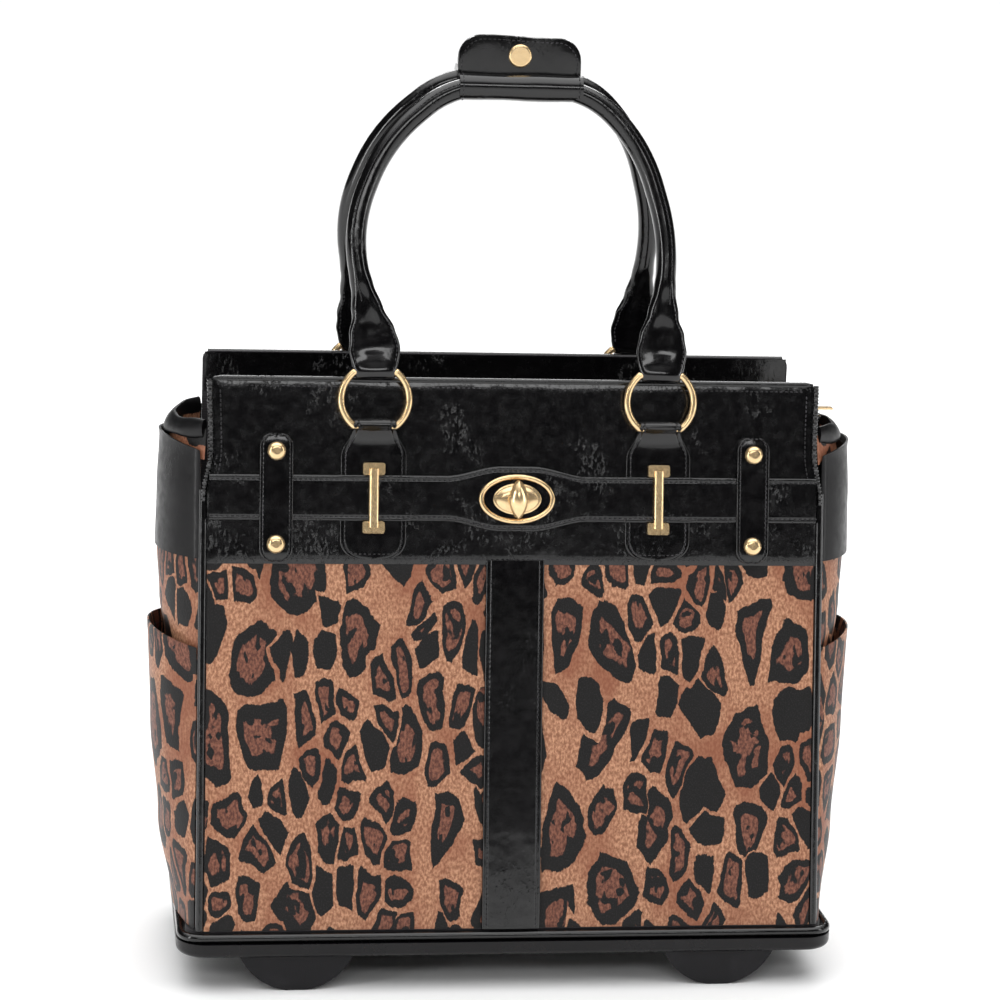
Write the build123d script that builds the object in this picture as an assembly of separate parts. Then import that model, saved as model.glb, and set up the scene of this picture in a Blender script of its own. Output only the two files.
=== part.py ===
from build123d import *
import math
import os

# Rolling laptop case. X runs across the front, +Y to the back, +Z up, origin on the floor at the middle
# of the footprint. All sizes are millimetres.

# ---- driving sizes of the case ----
CASE_W = 418.0  # across the front, over the corner piping
CASE_H = 399.0  # top edge of the front board above the floor
REAR_H = 403.0  # top edge of the rear board above the floor
FOOTPRINT_D = 190.0  # front edge of the tray to the back of the tyres
BASE_Z = 24.0  # underside of the tray above the floor
TRAY_H = 9.6
TRAY_WALL = 3.0
TRAY_RIM = 12.0
BODY_Z = 40.5  # lower edge of the boards and side gussets
FACE_Y = -88.6  # outer face of the front board at BODY_Z
LEAN = 9.6  # degrees the front face leans back
REAR_Y = 65.0  # outer face of the rear board
BOARD_T = 3.0
PANEL_T = 1.8
YOKE_T = 2.4
YOKE_H = 120.0  # height of the black yoke along the leaning face
STRIP_W = 39.0
PIPING_R = 2.75
BEAD_R = 3.0
BEAD_OUT = 9.0  # middle of the bead outside the corner piping
PIPING_START = 0.5
PIPING_SINK = 0.6  # middle of the corner piping behind the board face
PIPING_END = 52.0  # end of the corner piping above the lower edge of the yoke
WING_EDGE_SLIM = 0.8  # how much thinner the wing edge is than the piping
BEAD_INSET = 1.5  # front of the bead behind the front of the tray
GAP = 0.3  # clearance between neighbours that are not a fit

# ---- sides ----
GUSSET_T = 2.2
BAND_TOP_Z = 367.5
BAND_Z = 282.0
POCKET_T = 2.0
POCKET_MOUTH_Z = 226.0
GUSSET_BULGE = 27.0  # how far the side swells out at its fullest
POCKET_BULGE = 29.5  # how far the pocket mouth stands out

# ---- computer space ----
LAPTOP_SPACE = 29.0  # between the divider and the rear board
DIVIDER_T = 10.0
DIVIDER_TOP = 318.0
DIVIDER_STRAP_W = 25.0
DIVIDER_STRAP_T = 2.0

# ---- belt, loops, staples and turn lock, in the plane of the front face ----
BELT_UP = 286.5  # middle of the belt along the face
BELT_H = 30.0
BELT_T = 3.2
BELT_OVAL_W = 66.0
BELT_OVAL_H = 43.0
LOOP_X = 159.0
LOOP_W = 22.0
LOOP_H = 84.0
LOOP_T = 1.8
RIVET_R = 6.1
RIVET_H = 4.2
RIVET_PITCH = 61.0
STAPLE_BAR_W = 6.5
STAPLE_BAR_R = 2.0  # half thickness of the bar
STAPLE_PLATE_W = 14.5
STAPLE_PLATE_H = 8.0
LOCK_W = 51.0
LOCK_H = 33.0
LOCK_RIM = 3.6
LOCK_T = 2.0
BOSS_W = 32.0
BOSS_H = 20.5
BOSS_T = 3.0
KNOB_W = 15.5
KNOB_H = 26.0
KNOB_T = 9.0
SHAFT_R = 3.0
RUN_FIT = 0.05  # radial clearance of a turning or sliding metal fit

# ---- rings, chapes and carry handles ----
RING_X = 95.0
RING_R = 22.4
RING_WIRE_R = 2.25
RING_PIN = 14.0  # half length of the straight stretch through each leather loop
CHAPE_T = 2.0
CHAPE_W = 44.0
SLEEVE_W = 25.0
SLEEVE_T = 2.2
SLEEVE_FIT = 0.1
FRONT_RING_UP = 334.0  # lower pin of the front rings, along the face
FRONT_RING_OUT = 8.2  # pin height off the face
REAR_RING_Z = 371.0  # lower pin of the rear rings
HANDLE_R = 6.75
FRONT_RISE = 189.0  # ring pin to the top of the front handle's centre line
REAR_RISE = 195.0
HANDLE_BOW = 11.0  # how far each leg bows out past its ring
HANDLE_SWAY = 6.3  # how far the soft legs lean to the left at mid height
HANDLE_FOOT = 28.0  # where the tube leaves its flat tab
HANDLE_TOP_Y = 16.0  # plane in which the two handles meet
HANDLE_GAP = 4.6  # between the two tubes, room for both wraps
TAB_T = 5.0
TAB_W = 30.0
WRAP_W = 82.0
WRAP_T = 2.0
WRAP_TOP = 31.5  # top edge of the wrap above the middle of the tubes
SNAP_R = 7.8
SNAP_DROP = 13.6  # middle of the snap below the top edge of the wrap

# ---- zips ----
ZIP_Z = 371.5
ZIP_HALF = 194.0
FLAP_T = 1.6
COIL_W = 2.6
COIL_T = 2.6
ZIP_SLOT = 1.6
SLIDER_L = 12.0
SLIDER_W = 12.0
PULL_L = 24.0
PULL_W = 7.0
PULL_T = 1.2

# ---- rear cover and trolley handle ----
COVER_Y = 90.0
COVER_Z = 53.0
COVER_TOP_Z = 350.0
COVER_T = 2.2
REAR_ZIP_Z = 322.0
REAR_ZIP_END = CASE_W / 2 + 22.0  # how far the stiff zip end reaches past the left corner
REAR_ZIP_T = 1.2
REAR_ZIP_W = 6.0
TROLLEY_X = 52.0
TROLLEY_Y = 76.0
TUBE_W = 16.0
TUBE_D = 11.0
TUBE_WALL = 1.0
TUBE_FIT = 0.25
TUBE_FOOT_Z = 62.0
TUBE_TOP_Z = 334.0
STAGE_STEP = 1.5  # each inner tube stands this much higher than the one round it
GRIP_W = 130.0
GRIP_D = 14.0
GRIP_H = 15.0
BUTTON_W = 30.0
BUTTON_D = 8.0
ROD_R = 1.2

# ---- wheels and feet ----
WHEEL_X = 142.0
WHEEL_R = 22.5
WHEEL_W = 20.0
TYRE_T = 7.0
TYRE_ROUND = 4.0
BEARING_R = 8.0
AXLE_R = 4.0
HOUSING_T = 3.0
HOUSING_TOP_Z = 51.0
FOOT_CHORD = 75.0
FOOT_D = 24.0
FOOT_FLAT = 13.0

LOW = (Align.CENTER, Align.CENTER, Align.MIN)
LEAN_TAN = math.tan(math.radians(LEAN))
LEAN_COS = math.cos(math.radians(LEAN))
LEAN_SIN = math.sin(math.radians(LEAN))
HALF_W = CASE_W / 2
PIPING_X = HALF_W - PIPING_R
BOARD_HALF = PIPING_X - PIPING_R - 0.05
SIDE_X = HALF_W - 2.5
DIVIDER_HALF = BOARD_HALF - 14.0
FRONT_EDGE = -FOOTPRINT_D / 2
WHEEL_Y = FOOTPRINT_D / 2 - WHEEL_R
HUB_R = WHEEL_R - TYRE_T
FACE = Plane(origin=(0, FACE_Y, BODY_Z), x_dir=(1, 0, 0), z_dir=(0, -LEAN_COS, LEAN_SIN))
FACE_TOP = (CASE_H - BODY_Z) / LEAN_COS
YOKE_UP = FACE_TOP - YOKE_H
BELT_BASE = YOKE_T
BELT_TOP = BELT_BASE + BELT_T
LOOP_TOP = BELT_TOP + LOOP_T
RING_DROP = math.sqrt(RING_R**2 - RING_PIN**2)
ZIP_Y = (FACE_Y + (ZIP_Z - BODY_Z) * LEAN_TAN + BOARD_T / LEAN_COS + REAR_Y - BOARD_T) / 2
SEAM_R = 1.5
FRONT_SEAM_Y = FACE_Y + (ZIP_Z - BODY_Z) * LEAN_TAN + BOARD_T / LEAN_COS + GAP + SEAM_R
REAR_SEAM_Y = REAR_Y - BOARD_T - GAP - SEAM_R


def box(x0, x1, y0, y1, z0, z1):
    """A block between two corners."""
    return Pos((x0 + x1) / 2, (y0 + y1) / 2, (z0 + z1) / 2) * Box(x1 - x0, y1 - y0, z1 - z0)


def rod(start, axis, radius, length):
    """A round bar from a start point along an axis."""
    return extrude(Plane(origin=start, z_dir=axis) * Circle(radius), length)


def face_y(z):
    """Where the front board's outer face stands at a height."""
    return FACE_Y + (z - BODY_Z) * LEAN_TAN


def on_face(shape):
    """Places a shape made flat (X across, Y up the face, Z outwards) onto the leaning front."""
    return FACE.location * shape


def plate(width, height, thickness, radius):
    """A flat plate with rounded corners, standing on Z = 0."""
    return extrude(RectangleRounded(width, height, radius), thickness)


# ---- shell of the case ----


def front_board():
    top = extrude(Pos(0, FACE_TOP / 2) * RectangleRounded(2 * BOARD_HALF, FACE_TOP, 6), -BOARD_T)
    return on_face(top)


def front_panel(side):
    inner = STRIP_W / 2
    outer = BOARD_HALF
    low, high = (inner, outer) if side > 0 else (-outer, -inner)
    return on_face(box(low, high, 0.5, YOKE_UP, 0, PANEL_T))


def centre_strip():
    return on_face(box(-STRIP_W / 2, STRIP_W / 2, 0.5, YOKE_UP, 0, YOKE_T))


def front_yoke():
    sheet = RectangleRounded(2 * BOARD_HALF, YOKE_H, 5.5)
    return on_face(Pos(0, YOKE_UP + YOKE_H / 2, 0) * extrude(sheet, YOKE_T))


def rear_board():
    height = REAR_H - BODY_Z
    outline = Pos(0, BODY_Z + height / 2) * RectangleRounded(2 * BOARD_HALF, height, 6)
    board = extrude(Plane.XZ.offset(-REAR_Y) * outline, BOARD_T)
    for x in (-WHEEL_X, WHEEL_X):
        board -= housing_space(x)
    return board


def rear_yoke():
    low = COVER_TOP_Z + 1.0
    outline = Pos(0, (low + REAR_H) / 2) * RectangleRounded(2 * BOARD_HALF, REAR_H - low, 5.5)
    return extrude(Plane.XZ.offset(-REAR_Y) * outline, -YOKE_T)


def piping(side):
    """The round cord sewn down one front corner, from the base bead to the yoke wing."""
    length = YOKE_UP + PIPING_END - PIPING_START
    return on_face(rod((side * PIPING_X, PIPING_START, -PIPING_SINK), (0, 1, 0), PIPING_R, length))


def wing_edge(side):
    """The stiffened leather edge that carries the corner on up to the top of the front wing."""
    start = YOKE_UP + PIPING_END + GAP
    foot = (side * (PIPING_X - WING_EDGE_SLIM), start, -PIPING_SINK)
    return on_face(rod(foot, (0, 1, 0), PIPING_R - WING_EDGE_SLIM, FACE_TOP - start))


def rear_piping(side):
    foot = (side * PIPING_X, REAR_Y - PIPING_SINK, BODY_Z + PIPING_START)
    return rod(foot, (0, 0, 1), PIPING_R, BAND_TOP_Z - BODY_Z)


def side_slice(z, bulge, lift, thickness):
    """A thin curved slice across one side: an arc from the front board to the rear board, swelling out."""
    y0 = face_y(z) + PIPING_R + 1.0
    y1 = REAR_Y - PIPING_R - 1.0
    mid = (y0 + y1) / 2
    x = SIDE_X + lift
    inner = ThreePointArc((x - thickness, y0, z), (x + bulge - thickness, mid, z), (x - thickness, y1, z))
    outer = ThreePointArc((x, y1, z), (x + bulge, mid, z), (x, y0, z))
    edges = [inner, Line(inner @ 1, outer @ 0), outer, Line(outer @ 1, inner @ 0)]
    return make_face(edges)


def side_shell(levels, lift, thickness, side):
    """A side wall skinned through slices; levels holds (height, bulge)."""
    slices = [side_slice(z, bulge, lift, thickness) for z, bulge in levels]
    wall = loft(slices)
    return wall if side > 0 else mirror(wall, about=Plane.YZ)


def side_gusset(side):
    low = BODY_Z + 0.5
    rise = BAND_Z - 0.3 - low
    shares = [(0, 0.3), (0.25, 0.4), (0.5, 0.5), (0.72, 0.78), (0.85, 0.93), (1.0, 1.0)]
    levels = [(low + rise * t, GUSSET_BULGE * s) for t, s in shares]
    return side_shell(levels, 0, GUSSET_T, side)


def side_band(side):
    rise = BAND_TOP_Z - BAND_Z
    levels = [(BAND_Z + rise * t, GUSSET_BULGE * s) for t, s in ((0, 1.0), (0.5, 0.95), (1.0, 0.87))]
    return side_shell(levels, 0.8, GUSSET_T + 0.8, side)


def side_pocket(side):
    low = BODY_Z + 0.5
    rise = POCKET_MOUTH_Z - low
    shares = [(0, 0.4), (0.3, 0.74), (0.65, 0.94), (1.0, 1.0)]
    levels = [(low + rise * t, POCKET_BULGE * s) for t, s in shares]
    return side_shell(levels, GAP + POCKET_T, POCKET_T, side)


def base_tray():
    """The moulded tray that carries the case, hollow, with cut-outs for the wheel housings."""
    half = HALF_W + BEAD_OUT + BEAD_R
    depth = COVER_Y - FRONT_EDGE
    mid_y = (COVER_Y + FRONT_EDGE) / 2
    tray = Pos(0, mid_y, BASE_Z) * plate(2 * half, depth, TRAY_H, 20)
    tray = fillet(tray.faces().sort_by(Axis.Z)[0].edges(), 4)
    hollow = plate(2 * (half - TRAY_RIM), depth - 2 * TRAY_RIM, TRAY_H, 10)
    tray -= Pos(0, mid_y, BASE_Z + TRAY_WALL) * hollow
    for x in (-WHEEL_X, WHEEL_X):
        tray -= housing_space(x)
    return tray


def base_bead():
    """The raised round bead that runs along the front and both sides, above the tray."""
    x = HALF_W + BEAD_OUT
    y = FRONT_EDGE + BEAD_R + BEAD_INSET
    z = BASE_Z + TRAY_H + BEAD_R + 0.2
    back = REAR_Y - 6
    path = FilletPolyline((-x, back, z), (-x, y, z), (x, y, z), (x, back, z), radius=16)
    return sweep(Plane(origin=(-x, back, z), z_dir=(0, -1, 0)) * Circle(BEAD_R), path)


def floor_board():
    """The stiff floor of the main compartment, resting on the tray's rim inside the bead."""
    low = FRONT_EDGE + 2 * BEAD_R + BEAD_INSET + 0.3
    depth = COVER_Y - 3.0 - low
    top = BODY_Z - BOARD_T * LEAN_SIN - 0.2
    width = 2 * (HALF_W + BEAD_OUT - BEAD_R - 0.3)
    floor = Pos(0, low + depth / 2, BASE_Z + TRAY_H) * plate(width, depth, top - BASE_Z - TRAY_H, 15)
    for x in (-WHEEL_X, WHEEL_X):
        floor -= housing_space(x)
    return floor


def laptop_divider():
    """The padded wall that keeps the computer against the rear board."""
    back = REAR_Y - BOARD_T - LAPTOP_SPACE
    return box(-DIVIDER_HALF, DIVIDER_HALF, back - DIVIDER_T, back, BODY_Z, DIVIDER_TOP)


def divider_strap():
    """The hook-and-loop strap over the top of the computer space."""
    y0 = REAR_Y - BOARD_T - LAPTOP_SPACE - DIVIDER_T / 2
    y1 = REAR_Y - BOARD_T - 0.1
    z = DIVIDER_TOP + 0.2
    return box(-DIVIDER_STRAP_W / 2, DIVIDER_STRAP_W / 2, y0, y1, z, z + DIVIDER_STRAP_T)


# ---- belt and turn lock ----


def belt_strap():
    """The belt right across the yoke, with a wide eye that carries the lock."""
    outline = Rectangle(2 * BOARD_HALF - 1.0, BELT_H) + Ellipse(BELT_OVAL_W / 2, BELT_OVAL_H / 2)
    strap = Pos(0, BELT_UP, BELT_BASE) * extrude(outline, BELT_T)
    for x in (-RING_X, RING_X):
        strap -= Pos(x, 0, 0) * chape_space()
    return on_face(strap)


def chape_space():
    """The hollow under the belt where a chape passes."""
    half = CHAPE_W / 2 + 0.1
    return box(-half, half, BELT_UP - BELT_H, BELT_UP + BELT_H, BELT_BASE - 1, BELT_BASE + CHAPE_T + 0.05)


def belt_loop(x):
    """A strap that bridges the belt and is riveted above and below it."""
    body = Pos(x, BELT_UP, BELT_BASE) * plate(LOOP_W, LOOP_H, LOOP_TOP - BELT_BASE, 3)
    clear = BELT_H / 2 + 0.1
    tunnel = box(x - LOOP_W, x + LOOP_W, BELT_UP - clear, BELT_UP + clear, 0, BELT_TOP)
    return on_face(body - tunnel)


def dome_rivets():
    rivets = []
    for x in (-LOOP_X, LOOP_X):
        for y in (-RIVET_PITCH / 2, RIVET_PITCH / 2):
            cap = Pos(x, BELT_UP + y, LOOP_TOP) * Cylinder(RIVET_R, RIVET_H, align=LOW)
            cap = fillet(cap.faces().sort_by(Axis.Z)[-1].edges(), RIVET_H * 0.9)
            rivets.append(on_face(cap))
    return rivets


def bar_staple(x):
    """A round bar across the belt with a flat plate at each end, screwed to the chape."""
    rise = BELT_BASE + CHAPE_T
    offset = BELT_H / 2 + 4.2
    staple = None
    for sign in (-1, 1):
        foot = Pos(x, BELT_UP + sign * offset, rise) * plate(STAPLE_PLATE_W, STAPLE_PLATE_H, 3.4, 1.5)
        staple = foot if staple is None else staple + foot
    low_end = (x, BELT_UP - offset, BELT_TOP + STAPLE_BAR_R + 0.1)
    start = Plane(origin=low_end, x_dir=(1, 0, 0), z_dir=(0, 1, 0))
    bar = extrude(start * Ellipse(STAPLE_BAR_W / 2, STAPLE_BAR_R), 2 * offset)
    posts = [
        box(x - STAPLE_BAR_R, x + STAPLE_BAR_R, up - 1.5, up + 1.5, rise + 3, BELT_TOP + STAPLE_BAR_R + 0.1)
        for up in (BELT_UP - offset + 1.5, BELT_UP + offset - 1.5)
    ]
    for piece in [bar, *posts]:
        staple += piece
    return on_face(staple)


def turnlock_plate():
    rim = Ellipse(LOCK_W / 2, LOCK_H / 2) - Ellipse(LOCK_W / 2 - LOCK_RIM, LOCK_H / 2 - LOCK_RIM)
    ring = extrude(rim, LOCK_T)
    return on_face(Pos(0, BELT_UP, BELT_TOP) * ring)


def turnlock_inlay():
    field = Ellipse(LOCK_W / 2 - LOCK_RIM - 0.05, LOCK_H / 2 - LOCK_RIM - 0.05) - Circle(SHAFT_R + 1)
    return on_face(Pos(0, BELT_UP, BELT_TOP) * extrude(field, LOCK_T - 0.8))


def turnlock_boss():
    boss = extrude(Ellipse(BOSS_W / 2, BOSS_H / 2) - Circle(SHAFT_R + RUN_FIT), BOSS_T)
    return on_face(Pos(0, BELT_UP, BELT_TOP + LOCK_T - 0.8) * boss)


def turnlock_knob():
    """The upright winged knob and the shaft that turns in the boss."""
    seat = BELT_TOP + LOCK_T - 0.8 + BOSS_T + GAP
    grip = extrude(Ellipse(KNOB_W / 2, KNOB_H / 2), 3.0)
    wing = Pos(0, 0, 3.0) * extrude(RectangleRounded(KNOB_W * 0.42, KNOB_H * 0.86, 3.0), KNOB_T - 3.0)
    shaft = Pos(0, 0, -BOSS_T - GAP) * Cylinder(SHAFT_R, BOSS_T + GAP, align=LOW)
    knob = Pos(0, BELT_UP, seat) * (grip + wing + shaft)
    return on_face(knob)


# ---- rings and their leather loops ----


def ring():
    """A wire ring whose top and bottom are straight pins, flat in XY, lower pin on the X axis."""
    mid = RING_DROP
    corners = [(sx * RING_PIN, mid + sy * RING_DROP) for sx in (-1, 1) for sy in (-1, 1)]
    body = None
    for side in (-1, 1):
        arc = ThreePointArc(
            (side * RING_PIN, mid - RING_DROP), (side * RING_R, mid), (side * RING_PIN, mid + RING_DROP)
        )
        wire = sweep(Plane(origin=arc @ 0, z_dir=arc % 0) * Circle(RING_WIRE_R), arc)
        body = wire if body is None else body + wire
    for y in (mid - RING_DROP, mid + RING_DROP):
        body += rod((-RING_PIN, y, 0), (1, 0, 0), RING_WIRE_R, 2 * RING_PIN)
    for x, y in corners:
        body += Pos(x, y, 0) * Sphere(RING_WIRE_R)
    return body


def sleeve():
    """A leather loop round a ring pin: a short tube along X, centred on the pin."""
    bore = RING_WIRE_R + SLEEVE_FIT
    tube = Circle(bore + SLEEVE_T) - Circle(bore)
    return extrude(Plane(origin=(-SLEEVE_W / 2, 0, 0), z_dir=(1, 0, 0)) * tube, SLEEVE_W)


def pin_gap():
    """The bore of a sleeve as a solid, to keep neighbours clear of the pin."""
    return rod((-SLEEVE_W, 0, 0), (1, 0, 0), RING_WIRE_R + SLEEVE_FIT, 2 * SLEEVE_W)


def front_chape(x):
    """The leather tab that holds a front ring: a flat body on the yoke and a loop at its neck."""
    low = YOKE_UP + 3.0
    body = box(-CHAPE_W / 2, CHAPE_W / 2, low, BELT_UP + 22, YOKE_T, YOKE_T + CHAPE_T)
    body = fillet(body.edges().filter_by(Axis.Z).group_by(Axis.Y)[0], 12)
    half = SLEEVE_W / 2
    neck = box(-half, half, BELT_UP + 21, FRONT_RING_UP - 3, YOKE_T, YOKE_T + CHAPE_T)
    web = box(-half, half, FRONT_RING_UP - 10, FRONT_RING_UP - 2, YOKE_T, FRONT_RING_OUT + 2)
    loop = Pos(0, FRONT_RING_UP, FRONT_RING_OUT) * sleeve()
    gap = Pos(0, FRONT_RING_UP, FRONT_RING_OUT) * pin_gap()
    return on_face(Pos(x, 0, 0) * ((body + neck + web + loop) - gap))


def rear_ring_y():
    return REAR_Y + YOKE_T + RING_WIRE_R + SLEEVE_T + SLEEVE_FIT + 0.6


def rear_chape(x):
    y0 = REAR_Y + YOKE_T
    body = box(-SLEEVE_W / 2, SLEEVE_W / 2, y0, y0 + CHAPE_T, COVER_TOP_Z + 4, REAR_RING_Z - 3)
    web = box(-SLEEVE_W / 2, SLEEVE_W / 2, y0, rear_ring_y() + 2, REAR_RING_Z - 10, REAR_RING_Z - 2)
    loop = Pos(0, rear_ring_y(), REAR_RING_Z) * sleeve()
    gap = Pos(0, rear_ring_y(), REAR_RING_Z) * pin_gap()
    return Pos(x, 0, 0) * ((body + web + loop) - gap)


def front_rings():
    spot = Pos(0, FRONT_RING_UP, FRONT_RING_OUT)
    return [on_face(Pos(x, 0, 0) * spot * ring()) for x in (-RING_X, RING_X)]


def rear_rings():
    upright = Plane(origin=(0, rear_ring_y(), REAR_RING_Z), x_dir=(-1, 0, 0), z_dir=(0, 1, 0))
    return [Pos(x, 0, 0) * (upright.location * ring()) for x in (-RING_X, RING_X)]


# ---- carry handles ----


def front_pin():
    """The upper pin of the front rings: where the front handle hangs and turns (y, z)."""
    up = FRONT_RING_UP + 2 * RING_DROP
    y = FACE_Y + up * LEAN_SIN - FRONT_RING_OUT * LEAN_COS
    z = BODY_Z + up * LEAN_COS + FRONT_RING_OUT * LEAN_SIN
    return y, z


def rear_pin():
    return rear_ring_y(), REAR_RING_Z + 2 * RING_DROP


def handle_plane(front):
    """The leaning plane of a handle: origin on its ring pin, X across, Y up the handle."""
    y, z = front_pin() if front else rear_pin()
    reach = HANDLE_R + HANDLE_GAP / 2
    target = HANDLE_TOP_Y - reach if front else HANDLE_TOP_Y + reach
    angle = math.asin((target - y) / handle_rise(front))
    up = Vector(0, math.sin(angle), math.cos(angle))
    across = Vector(1, 0, 0) if front else Vector(-1, 0, 0)
    return Plane(origin=(0, y, z), x_dir=across, z_dir=across.cross(up))


def handle_top(front):
    """Where the straight top of a handle's centre line runs (y, z)."""
    point = handle_plane(front).from_local_coords((0, handle_rise(front), 0))
    return point.Y, point.Z


def handle_rise(front):
    return FRONT_RISE if front else REAR_RISE


def tube_in_plane(rise, sway):
    """A handle's tube in its own plane: two bowed legs that lean to one side, and a flat-topped arch."""
    half = [
        (RING_X + 2, HANDLE_FOOT, 0.25),
        (RING_X + HANDLE_BOW, 0.49 * rise, 1.0),
        (RING_X + HANDLE_BOW - 20, 0.8 * rise, 0.6),
        (RING_X - 49, rise, 0.0),
    ]
    route = half + [(-x, y, lean) for x, y, lean in reversed(half)]
    points = [(x + lean * sway, y, 0) for x, y, lean in route]
    path = FilletPolyline(*points, radius=[140, 110, 60, 60, 110, 140])
    return sweep(Plane(origin=path @ 0, z_dir=path % 0) * Circle(HANDLE_R), path)


def flat_tube(front):
    """The tube of one handle in that handle's plane; both lean to the left of the case."""
    return tube_in_plane(handle_rise(front), -HANDLE_SWAY if front else HANDLE_SWAY)


def handle_tube(front):
    """The padded leather tube of one handle."""
    return handle_plane(front).location * flat_tube(front)


def handle_tabs(front):
    """The flat flared tabs: each loops its ring pin and closes round the end of the tube."""
    bore = RING_WIRE_R + SLEEVE_FIT
    tube = flat_tube(front)
    tabs = []
    for side in (-1, 1):
        x = side * RING_X
        top = x + side * 2
        outline = Polyline(
            (x - SLEEVE_W / 2, bore + 0.5),
            (x + SLEEVE_W / 2, bore + 0.5),
            (x + TAB_W / 2, 12),
            (top + 9, HANDLE_FOOT + 2),
            (top - 9, HANDLE_FOOT + 2),
            (x - TAB_W / 2, 12),
            close=True,
        )
        flat = Pos(0, 0, -TAB_T / 2) * extrude(make_face(outline), TAB_T)
        tab = (flat + Pos(x, 0, 0) * sleeve()) - Pos(x, 0, 0) * pin_gap() - tube
        tabs.append(handle_plane(front).location * tab)
    return tabs


def wrap_top_z():
    return (handle_top(True)[1] + handle_top(False)[1]) / 2 + WRAP_TOP


def wrap_half(front):
    """One half of the grip wrap: leather closed round its own tube, with a flap up to the snap."""
    y, z = handle_top(front)
    out = -1 if front else 1
    low, high = sorted((HANDLE_TOP_Y + out * 0.1, HANDLE_TOP_Y + out * (0.1 + WRAP_T)))
    start = (-WRAP_W / 2, y, z)
    sock = rod(start, (1, 0, 0), HANDLE_R + WRAP_T, WRAP_W)
    flap = box(-WRAP_W / 2, WRAP_W / 2, low, high, z, wrap_top_z())
    flap = fillet(flap.edges().filter_by(Axis.Y).group_by(Axis.Z)[-1], 7)
    return sock + flap - handle_tube(front)


def snap_button(front, radius, height):
    """One side of the snap, seated on the outer face of its flap."""
    out = -1 if front else 1
    y = HANDLE_TOP_Y + out * (0.1 + WRAP_T)
    disc = rod((0, y, wrap_top_z() - SNAP_DROP), (0, out, 0), radius, height)
    face = disc.faces().sort_by(Axis.Y)[0 if front else -1]
    return fillet(face.edges(), height * 0.6)


# ---- main zip ----


def zip_flap(front):
    """One leather flap of the recessed top closure, sewn along its seam and free at the zip."""
    seam = FRONT_SEAM_Y if front else REAR_SEAM_Y
    edge = ZIP_Y - ZIP_SLOT - 0.8 if front else ZIP_Y + ZIP_SLOT + 0.8
    low, high = sorted((seam, edge))
    sheet = box(-ZIP_HALF, ZIP_HALF, low, high, ZIP_Z - FLAP_T / 2, ZIP_Z + FLAP_T / 2)
    return sheet + rod((-ZIP_HALF, seam, ZIP_Z), (1, 0, 0), SEAM_R, 2 * ZIP_HALF)


def zip_coil(front):
    """The coil sewn along a flap's free edge, above and round it."""
    sign = -1 if front else 1
    low, high = sorted((ZIP_Y + sign * (ZIP_SLOT + 0.1), ZIP_Y + sign * (ZIP_SLOT + COIL_W)))
    coil = box(-ZIP_HALF, ZIP_HALF, low, high, ZIP_Z - COIL_T / 2, ZIP_Z + COIL_T / 2)
    return coil - zip_flap(front)


def zip_tail():
    """The leather end tab of the zip, past the end of the flaps."""
    x0 = ZIP_HALF + 1.0
    tab = box(x0, HALF_W + 8, ZIP_Y - 9, ZIP_Y + 9, ZIP_Z - 0.6, ZIP_Z + 0.6)
    return tab - box(x0 - 1, x0 + SLIDER_L + 2, ZIP_Y - ZIP_SLOT, ZIP_Y + ZIP_SLOT, ZIP_Z - 2, ZIP_Z + 2)


def slider_x():
    return ZIP_HALF + 1.5


def zip_slider():
    """Two plates over and under the tape, a post between them and a bail on top for the pull."""
    x0 = slider_x()
    x1 = x0 + SLIDER_L
    half = SLIDER_W / 2
    gap = COIL_T / 2 + GAP
    top = box(x0, x1, ZIP_Y - half, ZIP_Y + half, ZIP_Z + gap, ZIP_Z + gap + 1.4)
    low = box(x0, x1, ZIP_Y - half, ZIP_Y + half, ZIP_Z - gap - 1.4, ZIP_Z - gap)
    post = box(x0 + 4, x1 - 4, ZIP_Y - ZIP_SLOT + GAP, ZIP_Y + ZIP_SLOT - GAP, ZIP_Z - gap, ZIP_Z + gap)
    bail = box(x0 + 4, x0 + 8, ZIP_Y - 5.5, ZIP_Y + 5.5, ZIP_Z + gap + 1.4, ZIP_Z + gap + 4.6)
    slot = PULL_W / 2 + 0.3
    bail -= box(x0, x1, ZIP_Y - slot, ZIP_Y + slot, ZIP_Z + gap + 1.4, ZIP_Z + gap + 6)
    pin = rod((x0 + 6, ZIP_Y - 5.5, ZIP_Z + gap + 3.2), (0, 1, 0), 0.8, 11)
    return top + low + post + bail + pin


def pull_plate(length, width):
    """A pull lying flat along +X, with its eye at the origin and the eye's bore along Y."""
    eye = rod((0, -width / 2, 0), (0, 1, 0), 1.6, width)
    blade = box(1.0, length, -width / 2, width / 2, -PULL_T / 2, PULL_T / 2)
    return (eye + blade) - rod((0, -width, 0), (0, 1, 0), 0.85, 2 * width)


def zip_pull():
    z = ZIP_Z + COIL_T / 2 + GAP + 3.2
    return Pos(slider_x() + 6, ZIP_Y, z) * pull_plate(PULL_L, PULL_W)


# ---- rear cover, its zip and the trolley ----


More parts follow.
